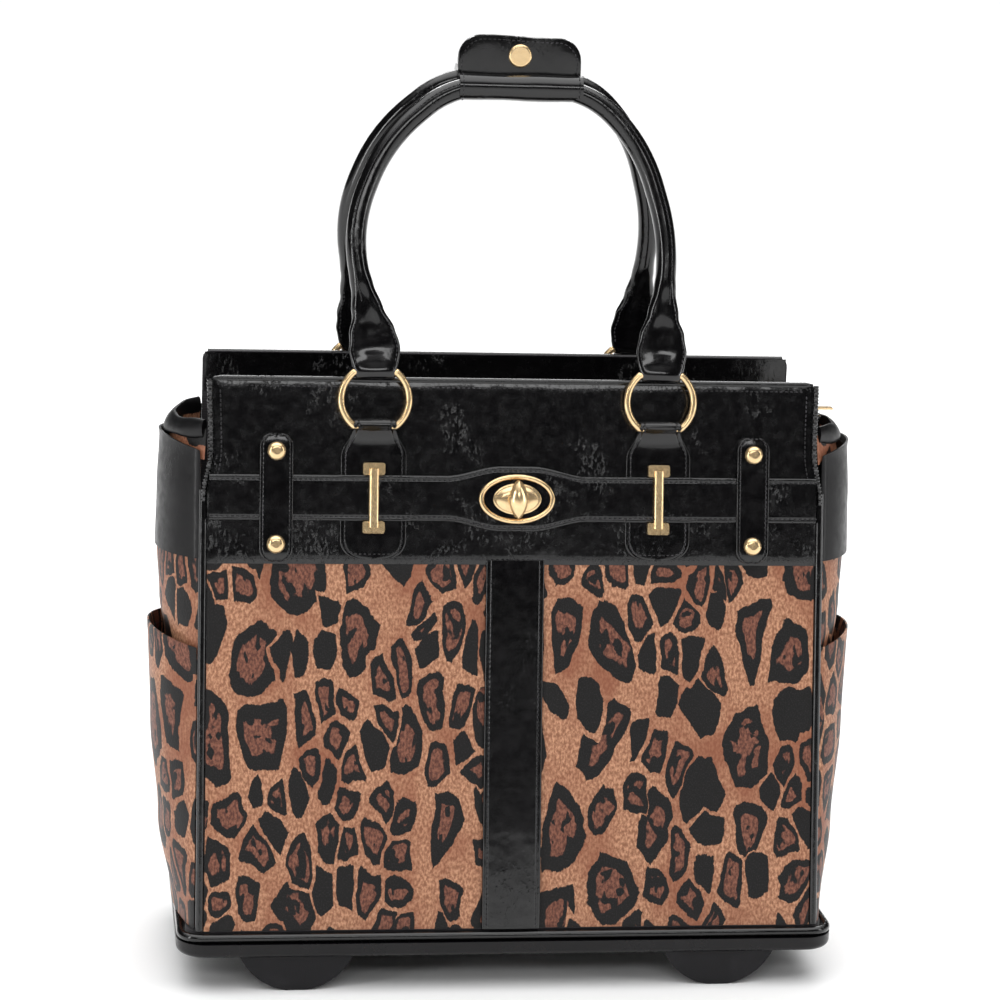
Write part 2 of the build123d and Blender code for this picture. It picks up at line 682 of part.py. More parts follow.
def rear_cover():
    """The soft-cornered cover over the trolley tubes, open in front and slotted on top for the grip."""
    width = 2 * BOARD_HALF
    mid_y = (REAR_Y + COVER_Y) / 2
    depth = COVER_Y - REAR_Y
    height = COVER_TOP_Z - COVER_Z
    outer = Pos(0, mid_y, COVER_Z) * Box(width, depth, height, align=LOW)
    outer = fillet(outer.edges().filter_by(Axis.Z).group_by(Axis.Y)[-1], 10)
    inner = Pos(0, mid_y - COVER_T / 2 - 0.1, COVER_Z + COVER_T)
    hollow = inner * Box(width - 2 * COVER_T, depth - COVER_T + 0.2, height - 2 * COVER_T, align=LOW)
    slot = box(
        -GRIP_W / 2 - 1, GRIP_W / 2 + 1,
        TROLLEY_Y - GRIP_D / 2 - 0.8, TROLLEY_Y + GRIP_D / 2 + 0.8,
        COVER_TOP_Z - 2 * COVER_T, COVER_TOP_Z + 1,
    )
    return outer - hollow - slot


def rear_zip_chain():
    low, high = REAR_ZIP_Z - REAR_ZIP_W / 2, REAR_ZIP_Z + REAR_ZIP_W / 2
    return box(-DIVIDER_HALF, DIVIDER_HALF, COVER_Y, COVER_Y + REAR_ZIP_T, low, high)


def rear_zip_tail():
    """The stiff leather end of the rear zip, which reaches past the left corner."""
    low, high = REAR_ZIP_Z - REAR_ZIP_W / 2, REAR_ZIP_Z + REAR_ZIP_W / 2
    return box(-REAR_ZIP_END, -DIVIDER_HALF - 0.1, COVER_Y, COVER_Y + REAR_ZIP_T, low, high)


def rear_slider():
    """A channel that rides over the rear chain, with a bail for its pull."""
    x0 = -REAR_ZIP_END
    x1 = x0 + SLIDER_L
    y = COVER_Y + REAR_ZIP_T + GAP
    back = box(x0, x1, y, y + 1.2, REAR_ZIP_Z - 4.8, REAR_ZIP_Z + 4.8)
    for low, high in ((-4.8, -3.5), (3.5, 4.8)):
        back += box(x0, x1, COVER_Y + GAP, y, REAR_ZIP_Z + low, REAR_ZIP_Z + high)
    post = rod((x0 + 4, y + 1.2, REAR_ZIP_Z), (0, 1, 0), 1.0, 1.8)
    return back + post


def rear_pull():
    """The pull that hangs from the rear slider's post."""
    x = -REAR_ZIP_END + 4
    y = COVER_Y + REAR_ZIP_T + GAP + 1.2 + 0.3
    eye = rod((x, y, REAR_ZIP_Z), (0, 1, 0), 3.0, PULL_T)
    blade = box(x - 2.5, x + 2.5, y, y + PULL_T, REAR_ZIP_Z - PULL_L, REAR_ZIP_Z - 1)
    return (eye + blade) - rod((x, y - 1, REAR_ZIP_Z), (0, 1, 0), 1.08, 4)


def trolley_tube(stage, foot_z):
    """One pair of telescoping tubes; stage 0 is the outer pair."""
    step = 2 * (TUBE_WALL + TUBE_FIT) * stage
    width = TUBE_W - step
    depth = TUBE_D - step
    tube = Rectangle(width, depth) - Rectangle(width - 2 * TUBE_WALL, depth - 2 * TUBE_WALL)
    pair = []
    for x in (-TROLLEY_X, TROLLEY_X):
        pair.append(Pos(x, TROLLEY_Y, foot_z) * extrude(tube, TUBE_TOP_Z + stage * STAGE_STEP - foot_z))
    return pair


def trolley_foot():
    """The bracket that ties the feet of the outer tubes to the rear board."""
    half = TROLLEY_X + TUBE_W
    return box(-half, half, REAR_Y, TROLLEY_Y + TUBE_D / 2 + 1.5, TUBE_FOOT_Z - 6, TUBE_FOOT_Z)


def trolley_collar():
    """The bracket that clamps the tops of the outer tubes to the rear board."""
    half = TROLLEY_X + TUBE_W
    z1 = TUBE_TOP_Z - 4
    collar = box(-half, half, REAR_Y, TROLLEY_Y + TUBE_D / 2 + 1.5, z1 - 16, z1)
    for x in (-TROLLEY_X, TROLLEY_X):
        collar -= box(
            x - TUBE_W / 2 - 0.02, x + TUBE_W / 2 + 0.02,
            TROLLEY_Y - TUBE_D / 2 - 0.02, TROLLEY_Y + TUBE_D / 2 + 0.02,
            z1 - 20, z1 + 2,
        )
    return collar


def grip_z():
    return TUBE_TOP_Z + 2 * STAGE_STEP


def trolley_grip():
    z = grip_z()
    grip = Pos(0, TROLLEY_Y, z) * plate(GRIP_W, GRIP_D, GRIP_H, 5)
    grip = fillet(grip.faces().sort_by(Axis.Z)[-1].edges(), 3)
    well = box(
        -BUTTON_W / 2 - 0.2, BUTTON_W / 2 + 0.2,
        TROLLEY_Y - BUTTON_D / 2 - 0.2, TROLLEY_Y + BUTTON_D / 2 + 0.2,
        z + GRIP_H - 9, z + GRIP_H + 1,
    )
    channel = box(
        -TROLLEY_X - 2.5, TROLLEY_X + 2.5,
        TROLLEY_Y - 2.0, TROLLEY_Y + 2.0,
        z - 1, z + GRIP_H - 8,
    )
    return grip - well - channel


def trolley_button():
    """The release button, with the yoke bar under it that pushes the two rods."""
    z = grip_z() + GRIP_H
    half = BUTTON_W / 2
    cap = box(-half, half, TROLLEY_Y - BUTTON_D / 2, TROLLEY_Y + BUTTON_D / 2, z - 5.0, z + 1.0)
    stem = box(-6, 6, TROLLEY_Y - 1.5, TROLLEY_Y + 1.5, z - 9, z - 4.5)
    yoke = box(-TROLLEY_X - 1.8, TROLLEY_X + 1.8, TROLLEY_Y - 1.5, TROLLEY_Y + 1.5, z - 11, z - 8.9)
    return cap + stem + yoke


def release_rods():
    """The rods inside the inner tubes that the button pushes down."""
    top = grip_z() + GRIP_H - 11
    low = TUBE_FOOT_Z + 14
    return [rod((x, TROLLEY_Y, low), (0, 0, 1), ROD_R, top - low) for x in (-TROLLEY_X, TROLLEY_X)]


# ---- wheels and feet ----


def housing_space(x):
    half = WHEEL_W / 2 + 1.5 + HOUSING_T + 0.1
    y0 = WHEEL_Y - WHEEL_R - 2 - HOUSING_T
    return box(x - half, x + half, y0 - 0.1, COVER_Y + 6, BASE_Z - 8, HOUSING_TOP_Z + 0.1)


def wheel_housing(x):
    """A moulded box open below and behind, with a cheek each side of the wheel for the axle."""
    inner = WHEEL_W / 2 + 1.5
    outer = inner + HOUSING_T
    y0 = WHEEL_Y - WHEEL_R - 2 - HOUSING_T
    y1 = COVER_Y
    shell = box(x - outer, x + outer, y0, y1, 12, HOUSING_TOP_Z)
    shell = fillet(shell.edges().filter_by(Axis.X).group_by(Axis.Z)[0], 8)
    well = box(x - inner, x + inner, y0 + HOUSING_T, y1 + 1, 10, WHEEL_R * 2 + 2.5)
    return shell - well - rod((x - outer - 1, WHEEL_Y, WHEEL_R), (1, 0, 0), AXLE_R, 2 * outer + 2)


def wheel_axles():
    """The two steel axles, pressed through the housings' cheeks, with a collar each side of the wheel."""
    inner = WHEEL_W / 2 + 1.5
    outer = inner + HOUSING_T
    start = WHEEL_W / 2 - 2 + GAP
    axles = []
    for x in (-WHEEL_X, WHEEL_X):
        shaft = rod((x - outer, WHEEL_Y, WHEEL_R), (1, 0, 0), AXLE_R, 2 * outer)
        for end in (x - inner, x + start):
            shaft += rod((end, WHEEL_Y, WHEEL_R), (1, 0, 0), AXLE_R + 1.5, inner - start)
        axles.append(shaft)
    return axles


def wheel_ring(x, outer, inner, width):
    """A plain turned ring on the wheel's axis."""
    disc = Circle(outer) - Circle(inner)
    return extrude(Plane(origin=(x - width / 2, WHEEL_Y, WHEEL_R), z_dir=(1, 0, 0)) * disc, width)


def wheel_tyre(x):
    tyre = wheel_ring(x, WHEEL_R, HUB_R, WHEEL_W)
    rims = tyre.edges().filter_by(GeomType.CIRCLE).sort_by(SortBy.RADIUS)[-2:]
    return fillet(rims, TYRE_ROUND)


def wheel_hub(x):
    hub = wheel_ring(x, HUB_R, BEARING_R, WHEEL_W - 4)
    pitch = (HUB_R + BEARING_R) / 2
    hole = (HUB_R - BEARING_R) * 0.3
    for turn in range(5):
        angle = math.radians(72 * turn)
        y = WHEEL_Y + math.cos(angle) * pitch
        z = WHEEL_R + math.sin(angle) * pitch
        hub -= rod((x - WHEEL_W, y, z), (1, 0, 0), hole, 2 * WHEEL_W)
    return hub


def wheel_bearings(x):
    """Two ball-bearing rings pressed into the hub."""
    pair = []
    for shift in (-5.2, 5.2):
        pair.append(wheel_ring(x + shift, BEARING_R, AXLE_R + RUN_FIT, 5.0))
    return pair


def front_foot(x):
    """A half-round foot with a small flat to stand on."""
    drop = (BASE_Z**2 - (FOOT_FLAT / 2) ** 2 + (FOOT_CHORD / 2) ** 2) / (2 * BASE_Z)
    centre = drop
    radius = math.hypot(FOOT_FLAT / 2, centre)
    disc = rod((x, FRONT_EDGE + 5 + FOOT_D, centre), (0, -1, 0), radius, FOOT_D)
    keep = box(x - FOOT_CHORD, x + FOOT_CHORD, FRONT_EDGE, FRONT_EDGE + 60, 0, BASE_Z)
    foot = disc & keep
    return foot - rod((x, FRONT_EDGE + 5 + FOOT_D / 2, 4), (0, 0, 1), 2.0, BASE_Z)


def foot_screws():
    """The screws up through the feet into the tray."""
    screws = []
    for x in (-WHEEL_X, WHEEL_X):
        y = FRONT_EDGE + 5 + FOOT_D / 2
        screws.append(rod((x, y, 6), (0, 0, 1), 2.0, BASE_Z - 6))
    return screws


def parts():
    """Every node of the case, by name."""
    sides = (-1, 1)
    made = {
        "base_tray": base_tray(),
        "floor_board": floor_board(),
        "front_board": front_board(),
        "front_panels": [front_panel(side) for side in sides],
        "centre_strip": centre_strip(),
        "front_yoke": front_yoke(),
        "rear_board": rear_board(),
        "rear_yoke": rear_yoke(),
        "side_gussets": [side_gusset(side) for side in sides],
        "side_bands": [side_band(side) for side in sides],
        "side_pockets": [side_pocket(side) for side in sides],
        "piping": [base_bead()] + [trim(side) for trim in (piping, wing_edge, rear_piping) for side in sides],
        "laptop_divider": [laptop_divider(), divider_strap()],
        "belt_strap": belt_strap(),
        "belt_loops": [belt_loop(side * LOOP_X) for side in sides],
        "dome_rivets": dome_rivets(),
        "bar_staples": [bar_staple(side * RING_X) for side in sides],
        "turnlock_plate": turnlock_plate(),
        "turnlock_inlay": turnlock_inlay(),
        "turnlock_boss": turnlock_boss(),
        "turnlock_knob": turnlock_knob(),
        "ring_chapes": [chape(side * RING_X) for chape in (front_chape, rear_chape) for side in sides],
        "front_rings": front_rings(),
        "rear_rings": rear_rings(),
        "front_handle": handle_tube(True),
        "rear_handle": handle_tube(False),
        "front_handle_tabs": handle_tabs(True),
        "rear_handle_tabs": handle_tabs(False),
        "front_handle_wrap": wrap_half(True),
        "rear_handle_wrap": wrap_half(False),
        "snap_cap": snap_button(True, SNAP_R, 3.0),
        "snap_stud": snap_button(False, SNAP_R * 0.8, 1.6),
        "front_zip_flap": zip_flap(True),
        "rear_zip_flap": zip_flap(False),
        "front_zip_coil": zip_coil(True),
        "rear_zip_coil": zip_coil(False),
        "zip_tail": zip_tail(),
        "zip_slider": zip_slider(),
        "zip_pull": zip_pull(),
        "rear_cover": rear_cover(),
        "rear_zip_chain": [rear_zip_chain(), rear_zip_tail()],
        "rear_zip_slider": rear_slider(),
        "rear_zip_pull": rear_pull(),
        "trolley_outer_tubes": trolley_tube(0, TUBE_FOOT_Z),
        "trolley_middle_tubes": trolley_tube(1, TUBE_FOOT_Z + 2),
        "trolley_inner_tubes": trolley_tube(2, TUBE_FOOT_Z + 4),
        "trolley_brackets": [trolley_foot(), trolley_collar()],
        "trolley_grip": trolley_grip(),
        "trolley_button": trolley_button(),
        "trolley_release_rods": release_rods(),
        "wheel_housings": [wheel_housing(side * WHEEL_X) for side in sides],
        "wheel_axles": wheel_axles(),
        "front_feet": [front_foot(side * WHEEL_X) for side in sides],
        "foot_screws": foot_screws(),
    }
    for name, side in (("left", -1), ("right", 1)):
        made[f"wheel_hub_{name}"] = wheel_hub(side * WHEEL_X)
        made[f"wheel_tyre_{name}"] = wheel_tyre(side * WHEEL_X)
        made[f"wheel_bearings_{name}"] = wheel_bearings(side * WHEEL_X)
    return made


def write(name, shape):
    """Writes a node's solids as one STEP file."""
    pieces = shape if isinstance(shape, list) else [shape]
    solids = [solid for piece in pieces for solid in piece.solids()]
    export_step(Compound(children=solids), f"parts/{name}.step")


os.makedirs("parts", exist_ok=True)
for node, shape in parts().items():
    write(node, shape)
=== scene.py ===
import math

import bmesh
import bpy
from mathutils import Matrix, Vector, noise


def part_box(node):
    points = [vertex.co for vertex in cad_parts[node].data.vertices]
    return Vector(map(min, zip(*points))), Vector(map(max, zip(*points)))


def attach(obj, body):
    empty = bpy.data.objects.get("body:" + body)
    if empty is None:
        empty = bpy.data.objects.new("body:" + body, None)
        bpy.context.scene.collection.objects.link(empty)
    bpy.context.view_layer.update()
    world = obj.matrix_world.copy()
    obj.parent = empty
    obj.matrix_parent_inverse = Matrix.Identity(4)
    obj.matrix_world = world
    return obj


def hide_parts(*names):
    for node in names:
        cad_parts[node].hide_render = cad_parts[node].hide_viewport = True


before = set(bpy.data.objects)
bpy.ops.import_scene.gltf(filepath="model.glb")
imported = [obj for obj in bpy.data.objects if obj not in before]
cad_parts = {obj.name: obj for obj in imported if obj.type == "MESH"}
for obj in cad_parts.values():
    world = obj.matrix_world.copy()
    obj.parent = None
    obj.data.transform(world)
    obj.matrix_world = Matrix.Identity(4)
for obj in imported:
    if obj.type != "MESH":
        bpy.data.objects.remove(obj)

for name in ("Cube", "Light", "Camera"):
    if name in bpy.data.objects:
        bpy.data.objects.remove(bpy.data.objects[name])
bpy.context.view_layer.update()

# Positions below are millimetres in the frame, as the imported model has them.
MM = 0.001
LEAN = math.radians(9.6)
SIN, COS = math.sin(LEAN), math.cos(LEAN)
FACE_Y, BODY_Z = -88.6, 40.5
FACE_TOP = (399.0 - BODY_Z) / COS
YOKE_UP = FACE_TOP - 120.0
HALF = 203.4  # half width of the boards
SIDE_X = 206.5
REAR_Y, REAR_TOP = 65.0, 403.0
BELT_UP, BELT_HALF, BELT_OVAL = 286.5, 15.0, 21.5
BELT_LOW, BELT_TOP, LOOP_TOP = 2.4, 5.6, 7.4
RING_X, LOOP_X = 95.0, 159.0
RING_UP, RING_OUT, RING_STEP = 334.0, 8.2, 34.97
REAR_PIN_Y, REAR_PIN_Z = 72.55, 371.0
TOP_Y, TUBE_R, TUBE_GAP, SWAY = 16.0, 6.75, 4.6, 6.3
ZIP_Y, ZIP_Z, ZIP_HALF = 16.2, 371.5, 194.0
COVER_Y, COVER_LOW, COVER_TOP = 90.0, 53.0, 350.0
ZIP_Y = (1000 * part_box("front_zip_coil")[1].y + 1000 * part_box("rear_zip_coil")[0].y) / 2


# ---- small helpers for shapes ----


def on_face(x, up, out):
    """A point on the leaning front: across, up along the face, out from it."""
    return Vector((x, FACE_Y + up * SIN - out * COS, BODY_Z + up * COS + out * SIN))


FACE_OUT = Vector((0, -COS, SIN))


def face_y(z):
    return FACE_Y + (z - BODY_Z) * SIN / COS


def ease(t):
    t = min(1.0, max(0.0, t))
    return t * t * (3 - 2 * t)


def curve(knots, x):
    """A smooth line through knots (x, value)."""
    if x <= knots[0][0]:
        return knots[0][1]
    for (xa, va), (xb, vb) in zip(knots, knots[1:]):
        if x <= xb:
            return va + (vb - va) * ease((x - xa) / (xb - xa))
    return knots[-1][1]


def wobble(p, scale, seed=0.0):
    """A smooth random value from -1 to 1 at a place; scale is the wavelength in millimetres."""
    return noise.noise(Vector((p[0] / scale + seed, p[1] / scale, p[2] / scale)))


def make(name, verts, faces, material, body, slot, uvs=None, angle=48, stands_for=()):
    """A mesh object from millimetre points, which rides on a body."""
    mesh = bpy.data.meshes.new(name)
    mesh.from_pydata([v * MM for v in verts], [], faces)
    if uvs:
        layer = mesh.uv_layers.new(name="UVMap")
        for loop in mesh.loops:
            layer.data[loop.index].uv = uvs[loop.vertex_index]
    bm = bmesh.new()
    bm.from_mesh(mesh)
    bmesh.ops.recalc_face_normals(bm, faces=bm.faces)
    bm.to_mesh(mesh)
    bm.free()
    mesh.shade_smooth()
    mesh.set_sharp_from_angle(angle=math.radians(angle))
    mesh.materials.append(material)
    obj = bpy.data.objects.new(name, mesh)
    bpy.context.scene.collection.objects.link(obj)
    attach(obj, body)
    if stands_for:
        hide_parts(*stands_for)
    return obj


class Parts:
    """Several closed pieces gathered into one mesh."""

    def __init__(self):
        self.verts, self.faces, self.uvs = [], [], []

    def add(self, verts, faces, uvs=None):
        base = len(self.verts)
        self.verts += verts
        self.faces += [[base + i for i in face] for face in faces]
        self.uvs += uvs or [(0.0, 0.0)] * len(verts)
        return self

    def make(self, name, material, body, slot, **more):
        return make(name, self.verts, self.faces, material, body, slot, uvs=self.uvs, **more)


def loft(rings, closed=False):
    """Skins closed rings of points; the ends are capped unless the row of rings is itself closed."""
    count, size = len(rings), len(rings[0])
    verts = [Vector(p) for ring in rings for p in ring]
    faces = []
    for i in range(count if closed else count - 1):
        a, b = i * size, ((i + 1) % count) * size
        for j in range(size):
            k = (j + 1) % size
            faces.append([a + j, a + k, b + k, b + j])
    if not closed:
        faces.append(list(range(size))[::-1])
        faces.append([(count - 1) * size + j for j in range(size)])
    around = [0.0]
    for j in range(1, size):
        around.append(around[-1] + (rings[count // 2][j] - rings[count // 2][j - 1]).length)
    uvs, run = [], 0.0
    for i, ring in enumerate(rings):
        if i:
            run += (ring[0] - rings[i - 1][0]).length
        uvs += [(s * MM, run * MM) for s in around]
    return verts, faces, uvs


def sheet(f, nu, nv, thick, start=(0.0, 0.0), skirt=0.35):
    """A leather or cloth panel with rounded edges: f(u, v) is a point of its outer face."""
    def normal(u, v):
        e = 1e-3
        du = f(min(u + e, 1), v) - f(max(u - e, 0), v)
        dv = f(u, min(v + e, 1)) - f(u, max(v - e, 0))
        return du.cross(dv).normalized()

    rings, grids = [], []
    for i in range(nu + 1):
        u = i / nu
        outer = [f(u, j / nv) for j in range(nv + 1)]
        normals = [normal(u, j / nv) for j in range(nv + 1)]
        edge = 0.45 if i in (0, nu) else 0.0
        front = [p - n * thick * edge for p, n in zip(outer, normals)]
        back = [p - n * thick * (1 - edge) for p, n in zip(outer, normals)]
        front[0] = outer[0] - normals[0] * thick * max(edge, skirt)
        front[-1] = outer[-1] - normals[-1] * thick * max(edge, skirt)
        rings.append(front + back[::-1])
        grids.append(outer)
    verts, faces, _ = loft(rings)
    mid_u, mid_v = nu // 2, nv // 2
    across, upward = [0.0], [0.0]
    for i in range(1, nu + 1):
        across.append(across[-1] + (grids[i][mid_v] - grids[i - 1][mid_v]).length)
    for j in range(1, nv + 1):
        upward.append(upward[-1] + (grids[mid_u][j] - grids[mid_u][j - 1]).length)
    uvs = []
    for i in range(nu + 1):
        row = [(start[0] + across[i] * MM, start[1] + upward[j] * MM) for j in range(nv + 1)]
        uvs += row + row[::-1]
    return verts, faces, uvs


def flat_size(f):
    """The size a panel was cut to: its middle line across and its middle line up, in metres."""
    steps = 40
    across = sum((f((i + 1) / steps, 0.5) - f(i / steps, 0.5)).length for i in range(steps))
    upward = sum((f(0.5, (i + 1) / steps) - f(0.5, i / steps)).length for i in range(steps))
    return across * MM, upward * MM


def tangents(points):
    last = len(points) - 1
    return [(points[min(i + 1, last)] - points[max(i - 1, 0)]).normalized() for i in range(last + 1)]


def cord(points, radius, sides=14, radius_at=None, closed=False):
    """A round cord through points."""
    tan = tangents(points)
    side = tan[0].orthogonal().normalized()
    rings = []
    for i, (p, t) in enumerate(zip(points, tan)):
        side = (side - t * side.dot(t)).normalized()
        other = t.cross(side)
        r = radius_at(i) if radius_at else radius
        angles = [2 * math.pi * k / sides for k in range(sides)]
        rings.append([p + (side * math.cos(a) + other * math.sin(a)) * r for a in angles])
    return loft(rings, closed)


def strap(points, normals, half, low, high, crown=0.25, groove=2.6, round_edge=0.9):
    """A flat strap along points: half, low and high give its half width and its two faces at each point."""
    rings = []
    for i, (p, t) in enumerate(zip(points, tangents(points))):
        n = normals[i] if isinstance(normals, list) else normals
        side = t.cross(n).normalized()
        w, a, b = half(i), low(i), high(i)
        e = min(round_edge, (b - a) * 0.45, w * 0.45)
        g = min(groove, w * 0.5)
        profile = [(-w + e * 0.4, a), (-w, a + e * 0.5), (-w, b - e), (-w + e * 0.35, b - e * 0.3), (-w + e, b)]
        profile += [(-w + g - 0.6, b + 0.05), (-w + g, b - 0.32), (-w + g + 0.6, b + crown * 0.4), (-w + g + 1.3, b + crown * 0.5)]
        profile += [(-w * 0.5, b + crown * 0.8), (0, b + crown)]
        profile += [(-s, h) for s, h in profile[-2::-1]]
        rings.append([p + side * s + n * h for s, h in profile])
    return loft(rings)


def corner(distance, radius):
    """How far a rounded corner pulls in, at a distance from the end."""
    if distance >= radius:
        return 0.0
    d = radius - max(distance, 0.0)
    return radius - math.sqrt(max(radius * radius - d * d, 0.0))


def spaced(points, step):
    """Points a fixed step apart along a line of points, with the direction at each."""
    out, carry = [], step / 2
    for a, b in zip(points, points[1:]):
        length = (b - a).length
        while carry <= length:
            out.append((a.lerp(b, carry / length), (b - a).normalized()))
            carry += step
        carry -= length
    return out


def ends(count, first, last):
    """Numbers from first to last, closer together near both ends."""
    return [first + (last - first) * (0.5 - 0.5 * math.cos(math.pi * i / count)) for i in range(count + 1)]


def fillet_line(points, radii, step=3.0):
    """Samples a line of straight runs whose inner corners are rounded."""
    out = [points[0]]
    for i, radius in enumerate(radii):
        a, b, c = points[i], points[i + 1], points[i + 2]
        u, v = (a - b).normalized(), (c - b).normalized()
        half_angle = u.angle(v) / 2
        cut = min(radius / math.tan(half_angle), (a - b).length / 2, (c - b).length / 2)
        start, stop = b + u * cut, b + v * cut
        count = max(6, int(2 * cut / step))
        for k in range(count + 1):
            t = k / count
            out.append(start * (1 - t) ** 2 + b * (2 * t * (1 - t)) + stop * t ** 2)
    out.append(points[-1])
    line = [out[0]]
    for p in out[1:]:
        gap = (p - line[-1]).length
        if gap < 0.3:
            continue
        count = max(1, round(gap / step))
        begin = line[-1]
        line += [begin.lerp(p, (k + 1) / count) for k in range(count)]
    return line


# ---- stitches ----

STITCHES = {}


def stitch(body, points, normal, pitch=3.4, length=2.5, radius=0.36, lift=0.1):
    """A row of stitches along points; normal is one direction or a function of the place."""
    rows = STITCHES.setdefault(body, Parts())
    for p, t in spaced(points, pitch):
        n = normal(p) if callable(normal) else normal
        n = (n - t * n.dot(t)).normalized()
        side = t.cross(n)
        centre = p + n * lift
        verts = [centre - t * length / 2 - n * radius, centre + t * length / 2 - n * radius]
        for s in (-0.28, 0.28):
            for k in range(6):
                a = math.pi * k / 3
                verts.append(centre + t * length * s + side * math.cos(a) * radius + n * math.sin(a) * radius)
        faces = [[2 + k, 2 + (k + 1) % 6, 8 + (k + 1) % 6, 8 + k] for k in range(6)]
        faces += [[0, 2 + (k + 1) % 6, 2 + k] for k in range(6)] + [[1, 8 + k, 8 + (k + 1) % 6] for k in range(6)]
        rows.add(verts, faces)


# ---- materials ----


class Shader:
    """A material being wired: nodes are added by type, with values or links for their inputs."""

    def __init__(self, name):
        self.material = bpy.data.materials.new(name)
        self.material.use_nodes = True
        self.tree = self.material.node_tree
        self.surface = self.tree.nodes["Principled BSDF"]

    def node(self, kind, inputs=None, **props):
        n = self.tree.nodes.new("ShaderNode" + kind)
        for key, value in props.items():
            setattr(n, key, value)
        for key, value in (inputs or {}).items():
            if isinstance(value, bpy.types.NodeSocket):
                self.tree.links.new(value, n.inputs[key])
            else:
                n.inputs[key].default_value = value
        return n

    def maths(self, operation, a, b=0.0, c=0.0):
        return self.node("Math", {0: a, 1: b, 2: c}, operation=operation).outputs[0]

    def ramp(self, value, low, high, to=(0.0, 1.0)):
        """Spreads value between two numbers, smoothly and clamped."""
        inputs = {0: value, 1: low, 2: high, 3: to[0], 4: to[1]}
        return self.node("MapRange", inputs, interpolation_type="SMOOTHSTEP").outputs[0]

    def mix(self, share, a, b):
        inputs = {0: share, 6: a, 7: b}
        return self.node("Mix", inputs, data_type="RGBA").outputs[2]

    def place(self, scale=(1.0, 1.0, 1.0), uv=False, turn=(0.0, 0.0, 0.0)):
        coords = self.node("TexCoord").outputs["UV" if uv else "Object"]
        return self.node("Mapping", {"Vector": coords, "Scale": scale, "Rotation": turn}).outputs[0]

    def noise(self, vector, scale, detail=3.0, rough=0.55):
        inputs = {"Vector": vector, "Scale": scale, "Detail": detail, "Roughness": rough}
        return self.node("TexNoise", inputs).outputs[0]

    def bump(self, height, distance, strength=1.0, under=None):
        inputs = {"Height": height, "Distance": distance, "Strength": strength}
        if under:
            inputs["Normal"] = under
        return self.node("Bump", inputs).outputs[0]

    def finish(self, **inputs):
        for key, value in inputs.items():
            socket = self.surface.inputs[key.replace("_", " ")]
            if isinstance(value, bpy.types.NodeSocket):
                self.tree.links.new(value, socket)
            else:
                socket.default_value = value
        return self.material


def rgb(r, g, b):
    """A colour given as 0 to 255 display values."""
    def linear(c):
        c /= 255
        return c / 12.92 if c <= 0.04045 else ((c + 0.055) / 1.055) ** 2.4
    return linear(r), linear(g), linear(b), 1.0


def patent_leather(name, creases=1.0, gloss=0.16, tone=1.0, coat=0.6, lumps=0.35):
    """Black patent leather: a clear glossy coat over fine grain, with short creases in patches."""
    s = Shader(name)
    here = s.place()
    stretched = s.place((1.0, 1.0, 0.42), turn=(0.0, math.radians(8), 0.0))
    patches = s.ramp(s.noise(here, 22, 2), 0.5, 0.68)
    lines = s.ramp(s.noise(stretched, 520, 4, 0.6), 0.52, 0.72)
    crease = s.maths("MULTIPLY", lines, s.maths("MULTIPLY_ADD", patches, 0.92, 0.08))
    pores = s.noise(here, 1700, 2)
    soft = s.noise(here, 48, 2)
    under = s.bump(soft, 0.0016, lumps)
    under = s.bump(crease, 0.0005, 0.9 * creases, under)
    skin = s.bump(pores, 0.00006, 0.5, under)
    colour = s.mix(s.noise(here, 90, 3), rgb(3 * tone, 3 * tone, 4 * tone), rgb(9 * tone, 8 * tone, 9 * tone))
    rough = s.ramp(s.noise(here, 160, 3), 0.3, 0.75, (gloss, gloss + 0.14))
    return s.finish(
        Base_Color=colour, Roughness=rough, Normal=skin, IOR=1.5,
        Coat_Weight=coat, Coat_Roughness=0.06, Coat_IOR=1.5, Coat_Normal=under, Specular_IOR_Level=0.28,
    )


